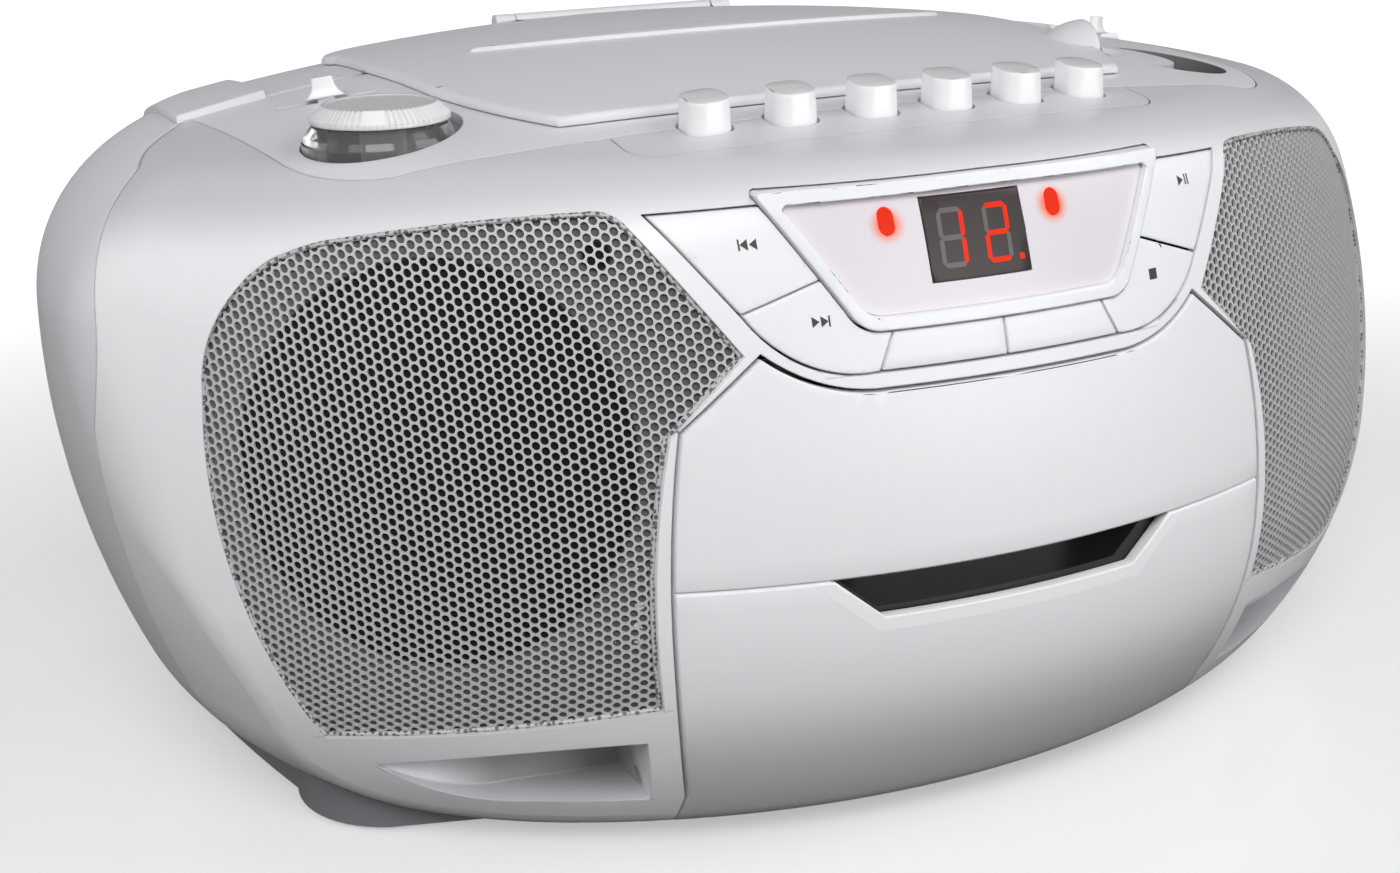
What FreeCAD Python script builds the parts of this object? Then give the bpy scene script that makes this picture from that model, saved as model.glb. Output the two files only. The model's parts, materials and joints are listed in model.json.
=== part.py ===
"""Portable radio, disc and cassette player, built piece by piece. Millimetres.

Frame: origin on the floor under the middle of the body, +X to the right of
someone facing the front, +Y towards the back, +Z up.
"""
import FreeCAD, Part
import Sketcher
import math
import os
import re

V = FreeCAD.Vector
X, Y, Z = V(1, 0, 0), V(0, 1, 0), V(0, 0, 1)

SIZES = {
    # body: front, back, side and top faces are arcs turned about an axis
    "half_depth": 117, "half_width": 173.5, "crown_z": 158.5, "shell_bottom": 3,
    "front_radius": 210, "front_rise": 200, "front_fall": 85, "bulge_z": 57,
    "side_radius": 160, "side_rise": 185, "side_y": 15, "side_z": 98,
    "crown_y": 29, "crown_len": 598, "crown_wid": 685,
    "rear_radius": 900, "rear_rise": 260, "rear_z": 75,
    "shoulder": 37, "belly": 40, "brow_round": 12, "cheek_round": 42,
    "jaw_round": 14, "chin_round": 5, "rear_round": 20,
    "wall": 2.4, "panel_gap": 0.35,
    # line where the front and rear shells meet, seen from the side
    "seam_y": -22, "seam_turn_z": 92, "seam_top_y": 6, "seam_top_z": 141,
    # base
    "floor_lift": 1, "plinth_floor": 1.6, "plinth_top": 17, "plinth_front": -64,
    "plinth_rear": 100, "plinth_front_half": 104, "plinth_mid_half": 135,
    "plinth_rear_half": 150, "foot_radius": 9, "foot_height": 1.2, "foot_x": 112,
    "foot_front_y": -32, "foot_rear_y": 78,
    # top deck and key strip
    "deck_front": -63, "deck_corner_x": 108, "deck_corner_y": -49, "deck_side_x": 125,
    "deck_side_y": -23, "deck_rear_x": 132, "deck_rear": 40,
    "strip_half": 64, "strip_front": -78.4, "strip_side_y": -68, "strip_corner": 8,
    # tape keys
    "key_count": 6, "key_pitch": 18.65, "key_shift": 2.4, "key_base": 10.5, "key_taper": 2,
    "key_y": -66.3, "key_bow": 4.2, "key_proud": 6.4, "key_sunk": 7, "key_gap": 0.3,
    "key_corner": 3.4, "key_stem": 6, "key_stem_foot_z": 113, "key_frame_z": 119, "key_frame_thick": 1.6,
    "key_frame_y": -64, "key_frame_half": 9, "leg_y": -68, "leg_deep": 9,
    # front button cluster and display
    "cluster_top_half": 68, "cluster_top_z": 138, "cluster_elbow_x": 54,
    "cluster_elbow_z": 119.2, "cluster_low_half": 28.2, "cluster_low_z": 107,
    "button_gap": 0.5, "button_thick": 3, "button_travel": 1, "button_free": 0.3, "stem_radius": 2.6,
    "screen_top_half": 47.7, "screen_top_z": 141.7, "screen_low_half": 27,
    "screen_low_z": 114.6, "screen_rim": 2.5, "screen_depth": 6, "screen_proud": 0.8,
    "lens_sink": 0.6, "lens_thick": 1.6, "digit_x": -2.9, "digit_z": 130.3,
    "digit_wide": 23.2, "digit_tall": 16.2, "led_spread": 19.4, "led_z": 134.6,
    "led_wide": 3.2, "led_tall": 5.2, "board_y": -84, "board_half": 56, "board_high_z": 138,
    "board_thick": 1.6, "switch_size": 6,
    "switch_height": 3.6,
    # grilles, speakers and vents
    "grille_inset": 1.2, "grille_thick": 0.8, "grille_top_z": 138.8,
    "grille_low_z": 30.6, "grille_in_x": 74.5, "grille_out_x": 150.3,
    "speaker_x": 117.5, "speaker_z": 91, "speaker_hole": 39, "speaker_rim": 43,
    "speaker_toe": 36, "speaker_rake": 9.8, "speaker_seat": 13, "speaker_deep": 34, "magnet_radius": 22,
    "magnet_deep": 12, "rim_thick": 2,
    "vent_deep": 17,
    # cassette door and its deck
    "door_wall": 3, "door_gap": 0.9, "door_top_z": 102.8, "door_ear_x": 51.8,
    "door_ear_z": 111, "door_shoulder_x": 68.2, "door_shoulder_z": 97.7,
    "door_wide_half": 72, "door_wide_z": 63, "door_kink_half": 66.2,
    "door_kink_z": 15, "door_back_y": -84, "door_swing_y": -75,
    "door_axis_y": -86, "door_axis_z": 18, "door_pin": 2,
    "frame_rib": 2.4, "frame_deep": 14, "running": 0.05,
    "window_top_half": 41.1, "window_low_half": 30.3, "window_top_z": 65.9,
    "window_low_z": 56.8, "pane_thick": 1.8, "crease_wide": 0.6, "crease_deep": 0.5,
    "tape_half": 51.2, "tape_low_z": 27, "tape_high_z": 91, "tape_back_y": -91.5, "tape_room": 0.6,
    "guide_wall": 2,
    "chassis_y": -86, "chassis_thick": 1.6, "chassis_half": 62, "chassis_low_z": 26,
    "chassis_high_z": 104, "reel_half": 21.25, "reel_z": 61.5, "reel_disc": 9,
    "reel_reach": 13, "reel_shaft": 1.5, "reel_spindle": 3,
    "capstan_x": 20, "capstan_z": 86, "capstan_radius": 1.25, "flywheel_radius": 17,
    "flywheel_thick": 7, "flywheel_front_y": -81, "belt_size": 1.2, "belt_y": -77.5,
    "motor_x": -34, "motor_z": 44, "motor_radius": 14, "motor_long": 24,
    "motor_shaft": 1, "pulley_radius": 4.5, "carrier_y": -67, "carrier_thick": 1.6,
    "bridge_half": 32, "bridge_low_z": 96, "bridge_high_z": 104, "bridge_travel": 6,
    "bridge_y": -90, "bridge_thick": 1.4, "slide_pin": 1.5, "slide_pin_x": 28, "slide_pin_z": 98,
    "bracket_half": 50, "bracket_low_z": 29, "bracket_high_z": 103, "belt_room": 0.1,
    "roller_radius": 6, "roller_wide": 6, "roller_pin": 1.2, "roller_z": 99.8,
    # dials and sliders
    "left_dial_x": -102.5, "right_dial_x": 103, "dial_y": -23, "dial_hole": 17.5,
    "dial_cap": 15, "dial_cap_top": 12.2, "dial_cap_rise": 3.7, "dial_lift": 3,
    "hood_gap": 0.3, "hood_wall": 1.4, "drum_radius": 13.5, "dial_drop": 15, "dial_shaft": 3,
    "wheel_hole": 15.5, "cup_floor": 1.6, "wheel_drop": 2.2, "bite_radius": 13, "bite_x": 92, "bite_y": -20,
    "pot_size": 17, "pot_tall": 9,
    "left_slider_x": -104, "left_slider_y": 18, "left_slider_turn": -18,
    "right_slider_x": 116, "right_slider_y": 25, "right_slider_turn": 35,
    "slot_long": 24, "slot_wide": 3, "slider_rise": 5.5, "slider_room": 0.35,
    "switch_long": 26, "switch_wide": 8, "switch_tall": 8, "switch_drop": 3,
    # disc lid and drive
    "lid_front": -56, "lid_corner_x": 71, "lid_corner_y": -47, "lid_side_x": 86,
    "lid_side_y": 3, "lid_wide_x": 88.6, "lid_wide_y": 39, "lid_rear_x": 84,
    "lid_rear": 94, "lid_gap": 0.3, "lid_thick": 2, "lid_chamfer": 0.8, "tab_y": -16, "tab_radius": 12.5,
    "tab_high": 5.6, "scoop_radius": 16, "scoop_deep": 2, "crescent_half": 66, "crescent_y": 10.5,
    "crescent_end_y": 27,
    "crescent_wide": 8, "crescent_high": 0.9, "hinge_radius": 2.4, "hinge_pin": 1.2,
    "hinge_half": 30, "hinge_back": 2.8, "hinge_room": 0.4, "ear_long": 6,
    "disc_y": 20, "well_radius": 63, "well_wall": 2, "well_floor_z": 141,
    "well_floor": 2, "hub_radius": 13, "hub_hole": 15, "hub_boss": 7.3,
    "laser_slot": 11, "laser_slot_y": -38, "drive_plate_z": 122, "drive_plate": 1.6,
    "drive_half": 45, "drive_front": -44, "drive_back": 48, "spindle_motor": 14,
    "spindle_top_z": 138, "hub_shaft": 1, "rail_z": 130, "rail_radius": 1.5,
    "rail_half": 21, "rail_back": 5, "sled_y": -14, "sled_long": 20, "sled_half": 24,
    "sled_low_z": 126, "sled_high_z": 134, "lens_radius": 5, "lens_top_z": 140.5,
    # carrying handle
    "arm_in": 113, "arm_out": 135, "grip_front": 103.8, "arm_low_z": 133,
    "grip_low_z": 127, "handle_gap": 0.5, "handle_proud": 1.6, "pivot_y": 50,
    "pivot_z": 142, "nose_radius": 11, "pivot_radius": 3, "pivot_long": 4,
    "finger_half": 42, "finger_low_z": 112,
    # battery bay, mains side and aerial
    "battery_half": 80, "battery_low_z": 29, "battery_high_z": 83, "battery_front": 80,
    "cover_lip": 3.4, "aerial_x": 118, "aerial_y": 105, "aerial_z": 98, "aerial_radius": 3,
    "aerial_long": 170, "aerial_rod": 1.6, "aerial_room": 1, "aerial_pin": 1.5,
    "aerial_knuckle": 3.4, "tip_long": 6,
    "inlet_x": -108, "inlet_z": 40, "inlet_wide": 22, "inlet_tall": 16, "inlet_front": 88,
    "inlet_pitch": 6.6, "inlet_deep": 13, "inlet_pin": 1.2,
    "main_board_z": 14, "main_board_half": 70, "main_board_front": -16,
    "main_board_back": 62, "post_radius": 4.2, "post_x": 60, "post_back_y": 50,
    "post_mid_y": -8, "post_front_y": -40, "contact_thick": 0.5, "screw_radius": 1.9, "screw_head": 3.6,
    "screw_head_tall": 1.7, "screw_low_z": 1.2, "screw_long": 11,
    "transformer_x": 72.5, "transformer_y": 30, "transformer_size": 34,
}

doc = FreeCAD.newDocument("CassettePlayer")
sheet = doc.addObject("Spreadsheet::Sheet", "Sizes")
for row, (alias, size) in enumerate(SIZES.items(), 1):
    sheet.set("A%d" % row, alias)
    sheet.set("B%d" % row, str(size))
    sheet.setAlias("B%d" % row, alias)
doc.recompute()


class Read:
    """The sheet's cells as attributes."""

    def __getattr__(self, alias):
        return float(sheet.get(alias))


S = Read()
NODES = []


# ---------------------------------------------------------------- helpers
def bind(thing, prop, formula):
    """Tie a property to the sheet; words of the formula are its aliases."""
    thing.setExpression(prop, named(formula))


def named(formula):
    return re.sub(r"[a-z]\w*", lambda m: "Sizes." + m[0] if m[0] in SIZES else m[0], str(formula))


def worth(formula):
    """The number that a formula of aliases stands for now."""
    return float(sheet.evalExpression(named(formula)))


def place(thing, at):
    for axis, formula in zip("xyz", at):
        bind(thing, "Placement.Base." + axis, formula)


def block(name, size, corner):
    thing = doc.addObject("Part::Box", name)
    for prop, formula in zip(("Length", "Width", "Height"), size):
        bind(thing, prop, formula)
    place(thing, corner)
    return thing


TURN = {"x": FreeCAD.Rotation(Y, 90), "y": FreeCAD.Rotation(X, -90), "z": FreeCAD.Rotation()}


def rod(name, radius, length, start, axis="z"):
    """A cylinder from start along +axis."""
    thing = doc.addObject("Part::Cylinder", name)
    thing.Placement = FreeCAD.Placement(V(), TURN[axis])
    bind(thing, "Radius", radius)
    bind(thing, "Height", length)
    place(thing, start)
    return thing


def shaped(name, shape):
    thing = doc.addObject("Part::Feature", name)
    thing.Shape = shape
    return thing


def fused(name, *things):
    thing = doc.addObject("Part::MultiFuse", name)
    thing.Shapes = list(things)
    return thing


def less(name, base, *tools):
    thing = doc.addObject("Part::Cut", name)
    thing.Base = base
    thing.Tool = tools[0] if len(tools) == 1 else fused(name + "_cuts", *tools)
    return thing


def node(name, thing):
    """Mark a finished piece; its label names its file."""
    thing.Label = name
    NODES.append(thing)
    return thing


def turned(name, profile, at, axis="z"):
    """A body made by turning a profile of (radius, height) corners, as on a lathe."""
    body = doc.addObject("PartDesign::Body", name)
    sketch = body.newObject("Sketcher::SketchObject", name + "_profile")
    plane = [f for f in body.Origin.OriginFeatures if f.Role == "XZ_Plane"][0]
    sketch.AttachmentSupport = [(plane, "")]
    sketch.MapMode = "FlatFace"
    count = len(profile)
    spots = [(worth(r), worth(h)) for r, h in profile]
    for n in range(count):
        a, b = spots[n], spots[(n + 1) % count]
        sketch.addGeometry(Part.LineSegment(V(a[0], a[1], 0), V(b[0], b[1], 0)), False)
    for n in range(count):
        sketch.addConstraint(Sketcher.Constraint("Coincident", n, 2, (n + 1) % count, 1))
    for n, (r, h) in enumerate(profile):
        for kind, tag, formula, spot in (("DistanceX", "r%d", r, spots[n][0]),
                                         ("DistanceY", "h%d", h, spots[n][1])):
            if kind == "DistanceX" and str(formula) == "0":
                sketch.addConstraint(Sketcher.Constraint("PointOnObject", n, 1, -2))
                continue
            if str(formula) == "0":
                sketch.addConstraint(Sketcher.Constraint("PointOnObject", n, 1, -1))
                continue
            k = sketch.addConstraint(Sketcher.Constraint(kind, -1, 1, n, 1, spot))
            sketch.renameConstraint(k, tag % n)
            bind(sketch, "Constraints." + tag % n, formula)
    turn = body.newObject("PartDesign::Revolution", name + "_turn")
    turn.Profile = sketch
    turn.ReferenceAxis = (sketch, ["V_Axis"])
    turn.Angle = 360
    body.Tip = turn
    body.Placement = FreeCAD.Placement(V(), TURN[axis])
    place(body, at)
    return body


# ---------------------------------------------------------------- body form
def barrel(at_x, at_y, radius, rise, fall, middle, seam):
    """A solid turned about an upright axis; its wall bows by arcs above and below middle."""
    low, high = middle - min(fall * 0.85, 120), middle + min(rise * 0.85, 130)

    def wall(z):
        arc = rise if z > middle else fall
        return V(radius - arc + math.sqrt(arc ** 2 - (z - middle) ** 2), 0, z)

    edges = [Part.Arc(wall(low), wall((low + middle) / 2), wall(middle)).toShape(),
             Part.Arc(wall(middle), wall((high + middle) / 2), wall(high)).toShape(),
             Part.makeLine(wall(high), V(0, 0, high)),
             Part.makeLine(V(0, 0, high), V(0, 0, low)),
             Part.makeLine(V(0, 0, low), wall(low))]
    face = Part.Face(Part.Wire(edges))
    face.rotate(V(), Z, seam)
    solid = face.revolve(V(), Z, 360)
    solid.translate(V(at_x, at_y, 0))
    return solid


def front_barrel(inset):
    return barrel(0, S.front_radius - S.half_depth, S.front_radius - inset, S.front_rise - inset,
                  S.front_fall - inset, S.bulge_z, 90)


def rear_barrel(inset):
    return barrel(0, S.half_depth - S.rear_radius, S.rear_radius - inset, S.rear_rise - inset,
                  S.rear_rise - inset, S.rear_z, -90)


def side_barrel(inset):
    return barrel(S.half_width - S.side_radius, S.side_y, S.side_radius - inset,
                  S.side_rise - inset, S.side_rise - inset, S.side_z, 180)


def crown_barrel(inset):
    """The top face, turned about a long axis far below it."""
    axis = V(0, S.crown_y, S.crown_z - S.crown_len)
    radius, reach = S.crown_wid - inset, S.half_width + 30

    def top(x):
        return V(x, S.crown_y, S.crown_z - inset - radius + math.sqrt(radius ** 2 - x ** 2))

    right, left = axis + X * reach, axis - X * reach
    edges = [Part.Arc(top(-reach), top(0), top(reach)).toShape(), Part.makeLine(top(reach), right),
             Part.makeLine(right, left), Part.makeLine(left, top(-reach))]
    face = Part.Face(Part.Wire(edges))
    face.rotate(axis, X, 180)
    return face.revolve(axis, X, 360)


def top_z(x, y, inset=0):
    """Height of the top face over a point."""
    radius = S.crown_wid - inset
    along = S.crown_len - S.crown_wid + math.sqrt(radius ** 2 - x ** 2)
    return S.crown_z - S.crown_len + math.sqrt(along ** 2 - (y - S.crown_y) ** 2)


def front_y(x, z, inset=0):
    """Depth of the front face behind a point of the front view."""
    arc = (S.front_rise if z > S.bulge_z else S.front_fall) - inset
    radius = S.front_radius - inset - arc + math.sqrt(arc ** 2 - (z - S.bulge_z) ** 2)
    return S.front_radius - S.half_depth - math.sqrt(radius ** 2 - x ** 2)


def rear_y(x, z, inset=0):
    arc = S.rear_rise - inset
    radius = S.rear_radius - inset - arc + math.sqrt(arc ** 2 - (z - S.rear_z) ** 2)
    return S.half_depth - S.rear_radius + math.sqrt(radius ** 2 - x ** 2)


def form(inset):
    """The whole outer form, or the same drawn in by inset: half of it is made and mirrored."""
    tall = S.crown_z - S.shell_bottom - inset + 40
    half = Part.makeBox(300, 400, tall, V(0, -200, S.shell_bottom + inset))
    half = half.common(crown_barrel(inset)).common(side_barrel(inset))
    edge = [e for e in half.Edges if e.BoundBox.YLength > S.half_depth and e.BoundBox.XMax > S.half_width / 2]
    half = half.makeFillet(S.shoulder - inset, [e for e in edge if e.BoundBox.Center.z > S.side_z + 15])
    floor = S.shell_bottom + inset + 0.1
    edge = [e for e in half.Edges if e.BoundBox.YLength > S.half_depth and e.BoundBox.XMax > S.half_width / 2]
    half = half.makeFillet(S.belly - inset, [e for e in edge if e.BoundBox.ZMax < floor])
    half = half.common(front_barrel(inset)).common(rear_barrel(inset))

    def rounding(p):
        if p.z > S.side_z + 15:
            return S.brow_round
        if p.z > S.bulge_z + 5:
            return S.cheek_round
        if p.z > S.bulge_z - 5:
            return 0.75 * S.cheek_round
        return S.jaw_round if p.x > S.half_width / 3 else S.chin_round

    raw = shaped("raw_form", half)
    soft = doc.addObject("Part::Fillet", "soft_form")
    soft.Base = raw
    rows = []
    for number, edge in enumerate(half.Edges, 1):
        spots = edge.discretize(5)
        flat = edge.BoundBox.ZLength < 0.1 and abs(spots[0].z - S.bulge_z) < 0.1
        if flat or edge.BoundBox.XMax < 1 or edge.BoundBox.YMax > 20:
            continue
        if all(abs(p.y - front_y(p.x, p.z, inset)) < 0.05 for p in spots):
            ends = [rounding(v.Point) - inset for v in (edge.Vertexes[0], edge.Vertexes[-1])]
            if edge.valueAt(edge.FirstParameter).distanceToPoint(edge.Vertexes[0].Point) > 0.01:
                ends.reverse()
            rows.append((number, *ends))
    soft.Edges = rows
    doc.recompute()
    half = soft.Shape.copy()
    back = [e for e in half.Edges if e.BoundBox.YMin > 20 and e.BoundBox.XMax > 1
            and not (e.BoundBox.ZLength < 0.1 and abs(e.BoundBox.Center.z - S.rear_z) < 0.1)
            and all(abs(p.y - rear_y(p.x, p.z, inset)) < 0.05 for p in e.discretize(5))]
    half = half.makeFillet(S.rear_round - inset, back)
    doc.removeObject(soft.Name)
    doc.removeObject(raw.Name)
    return half.fuse(half.mirror(V(), X))


# ---------------------------------------------------------------- outlines
def outline(view, steps, grow=0):
    """A flat face from corners; a step of four numbers is an arc through its first two.

    view "front" draws in X and Z, view "top" draws in X and Y.
    """
    def spot(a, b):
        return V(a, 0, b) if view == "front" else V(a, b, 0)

    edges, here = [], spot(*steps[0])
    for step in list(steps[1:]) + [steps[0]]:
        there = spot(*step[-2:])
        if len(step) == 4:
            edges.append(Part.Arc(here, spot(*step[:2]), there).toShape())
        elif here.distanceToPoint(there) > 1e-6:
            edges.append(Part.makeLine(here, there))
        here = there
    face = Part.Face(Part.Wire(edges))
    if grow:
        face = Part.Face(face.OuterWire.makeOffset2D(grow, 2))
    return face


def both(steps):
    """Close a right-hand run of steps with its mirror image."""
    ends = [step[-2:] for step in steps]
    back = [] if abs(ends[-1][0]) < 1e-9 else [(-ends[-1][0], ends[-1][1])]
    for n in range(len(steps) - 1, 0, -1):
        via = (-steps[n][0], steps[n][1]) if len(steps[n]) == 4 else ()
        back.append(via + (-ends[n - 1][0], ends[n - 1][1]))
    return list(steps) + back


def prism(view, steps, low, high, grow=0):
    face = outline(view, steps, grow)
    run = Y if view == "front" else Z
    face.translate(run * low)
    return face.extrude(run * (high - low))


def box(low, high):
    return Part.makeBox(*(b - a for a, b in zip(low, high)), V(*low))


def round_bar(radius, start, end):
    return Part.makeCylinder(radius, (V(*end) - V(*start)).Length, V(*start), V(*end) - V(*start))


def skin(view, steps, outer, inner, grow=0):
    """A plate that follows the front or top face between two insets, inside an outline."""
    if view == "front":
        plate = prism(view, steps, -S.half_depth - 5, -20, grow)
        return plate.common(front_barrel(outer)).cut(front_barrel(inner))
    plate = prism(view, steps, S.crown_z - 40, S.crown_z + 10, grow)
    return plate.common(crown_barrel(outer)).cut(crown_barrel(inner))


def bow(end, middle, reach):
    """A point part of the way along the arc that crosses the middle line at right angles."""
    rise = end[1] - middle
    radius = (end[0] ** 2 + rise ** 2) / (2 * rise)
    x = end[0] * reach
    return (x, middle + radius - math.copysign(math.sqrt(radius ** 2 - x ** 2), radius))


def door_outline():
    low = S.shell_bottom - 8
    return both([(0, low), (S.door_kink_half, low), (S.door_kink_half, S.door_kink_z),
                 (S.door_wide_half, S.door_wide_z, S.door_shoulder_x, S.door_shoulder_z),
                 (S.door_ear_x, S.door_ear_z),
                 (S.door_ear_x - 10.8, S.door_top_z + 2.1, S.door_ear_x - 25, S.door_top_z),
                 (0, S.door_top_z)])


def cluster_outline():
    half, low = S.cluster_low_half, S.cluster_low_z
    return both([(0, low), (half, low),
                 ((half + S.cluster_elbow_x) / 2 + 3.5, low + 3.2, S.cluster_elbow_x, S.cluster_elbow_z),
                 (S.cluster_top_half, S.cluster_top_z), (0, S.cluster_top_z + 3)])


def screen_outline(inset=0):
    """The display's rim, or the same drawn in by inset; its sides lean outwards."""
    half, low, top = S.screen_low_half + 6.5, S.screen_low_z, S.screen_top_z
    lean = (S.screen_top_half - half) / (top - 1 - low - 3.9)
    shift = inset * math.hypot(1, lean)
    half, wide = half + lean * inset - shift, S.screen_top_half - lean * inset - shift
    low, top = low + inset, top - inset
    return both([(0, low), (half - 6.5, low), (half - 2.3, low + 1.2, half, low + 3.9), (wide, top - 1),
                 (wide - 0.4, top - 0.2, wide - 1.4, top), (0, top + 0.6)])


def window_outline():
    return both([(0, S.window_low_z), (S.window_low_half, S.window_low_z),
                 (S.window_top_half, S.window_top_z), (0, S.window_top_z)])


def grille_outline():
    """The right-hand grille."""
    x, out, top, low = S.grille_in_x, S.grille_out_x, S.grille_top_z, S.grille_low_z
    return [(x + 4.5, top), (x + 25.5, top - 1.5, out - 29, top - 4.8),
            (out - 11.3, top - 13.5, out - 0.9, top - 36),
            (out - 1.6, top - 72, out - 15.5, low), (x, low + 9.4),
            (x + 1.4, (top + low) / 2 - 20, x - 3.5, top - 42), (x - 19.2, top - 27),
            (x - 2, top - 2.4), (x + 0.4, top - 0.5, x + 4.5, top)]


def vent_outline():
    """The right-hand scoop under the grille."""
    x, low = S.grille_in_x - 0.8, S.grille_low_z - 16
    return [(x, low), (x + 23, low), (x + 40, low + 2.2, x + 52, low + 9),
            (x + 29, low + 14.3, x + 3, low + 17)]


def deck_outline():
    end = (S.deck_corner_x, S.deck_corner_y)
    corner = (S.deck_side_x - 5.5, (S.deck_corner_y + S.deck_side_y) / 2 - 2.5)
    return both([(0, S.deck_front), (*bow(end, S.deck_front, 0.5), *end),
                 (*corner, S.deck_side_x, S.deck_side_y), (S.deck_rear_x, S.deck_rear)])


def strip_outline():
    end = (S.strip_half - S.strip_corner, S.strip_front + 5)
    return both([(0, S.strip_front), (*bow(end, S.strip_front, 0.5), *end),
                 (S.strip_half - 2, S.strip_front + 7.4, S.strip_half, S.strip_side_y + 2),
                 (S.strip_half, S.deck_front + 8)])


def lid_outline():
    end = (S.lid_corner_x, S.lid_corner_y)
    return both([(0, S.lid_front), (*bow(end, S.lid_front, 0.5), *end),
                 (S.lid_side_x - 5.3, (S.lid_corner_y + S.lid_side_y) / 2 - 3, S.lid_side_x, S.lid_side_y),
                 (S.lid_wide_x, S.lid_wide_y), (S.lid_wide_x, S.lid_rear - 24),
                 (S.lid_rear_x + 2, S.lid_rear - 6, S.lid_rear_x - 8, S.lid_rear), (0, S.lid_rear)])


def flip(shape):
    """The same shape on the left-hand side."""
    return shape.mirror(V(), X)


def pair(shape):
    return shape.fuse(flip(shape))


def seam_side(shift=0):
    """Everything in front of the seam, as seen from the side."""
    y, top_y, rear = S.seam_y + shift, S.seam_top_y + shift, S.deck_rear + 4 + shift
    top = S.seam_top_z - shift
    spot = [V(0, y, -20), V(0, y, S.seam_turn_z), V(0, top_y, top), V(0, rear, top + 5),
            V(0, rear, 250), V(0, -250, 250), V(0, -250, -20)]
    via = V(0, y + 0.3 * (top_y - y), S.seam_turn_z + 0.74 * (top - S.seam_turn_z))
    edges = [Part.makeLine(spot[0], spot[1]), Part.Arc(spot[1], via, spot[2]).toShape()]
    edges += [Part.makeLine(spot[n], spot[(n + 1) % 7]) for n in range(2, 7)]
    face = Part.Face(Part.Wire(edges))
    face.translate(V(-250, 0, 0))
    return face.extrude(V(500, 0, 0))


def handle_room(grow):
    """The U that the carrying handle lies in, drawn out by grow; the grip's inner face is round its pivot."""
    high = S.crown_z + 20
    arm = box((S.arm_in - grow, S.pivot_y, S.arm_low_z - grow),
              (S.arm_out + grow, S.half_depth + 20, high))
    nose = round_bar(S.nose_radius + grow, (S.arm_in - grow, S.pivot_y, S.pivot_z),
                     (S.arm_out + grow, S.pivot_y, S.pivot_z))
    grip = box((-S.arm_out - grow, S.pivot_y, S.grip_low_z - grow),
               (S.arm_out + grow, S.half_depth + 20, high))
    swing = round_bar(S.grip_front - S.pivot_y - grow, (-S.half_width, S.pivot_y, S.pivot_z),
                      (S.half_width, S.pivot_y, S.pivot_z))
    return grip.cut(swing).fuse([arm, nose, flip(arm), flip(nose)])


# ---------------------------------------------------------------- shells
OUTER = form(0)
INNER = form(S.wall)
SHELL = OUTER.cut(INNER)


def speaker_axis():
    """The right-hand speaker's axis: its point on the face, and the way in, square to the face."""
    toe, rake = math.radians(S.speaker_toe), math.radians(S.speaker_rake)
    aim = V(-math.sin(toe) * math.cos(rake), math.cos(toe) * math.cos(rake), -math.sin(rake))
    return V(S.speaker_x, front_y(S.speaker_x, S.speaker_z), S.speaker_z), aim


def speaker_bore(radius, depth):
    """A bore along the right-hand speaker's axis, from well in front of the face."""
    at, aim = speaker_axis()
    return Part.makeCylinder(radius, depth + 40, at - aim * 40, aim)


def key_spot(n):
    """A key's place in the row, which bows back towards its ends."""
    middle = (S.key_count - 1) / 2
    return S.key_shift + (n - middle) * S.key_pitch, S.key_y + S.key_bow * ((n - middle) / middle) ** 2


def key_hole(n):
    x, y = key_spot(n)
    half = S.key_base / 2 + S.key_gap
    hole = box((x - half, y - half, S.crown_z - 40), (x + half, y + half, S.crown_z + 20))
    return hole.makeFillet(S.key_corner + S.key_gap, [e for e in hole.Edges if e.BoundBox.ZLength > 1])


def key_holes():
    holes = [key_hole(n) for n in range(int(S.key_count))]
    return holes[0].fuse(holes[1:])


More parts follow.
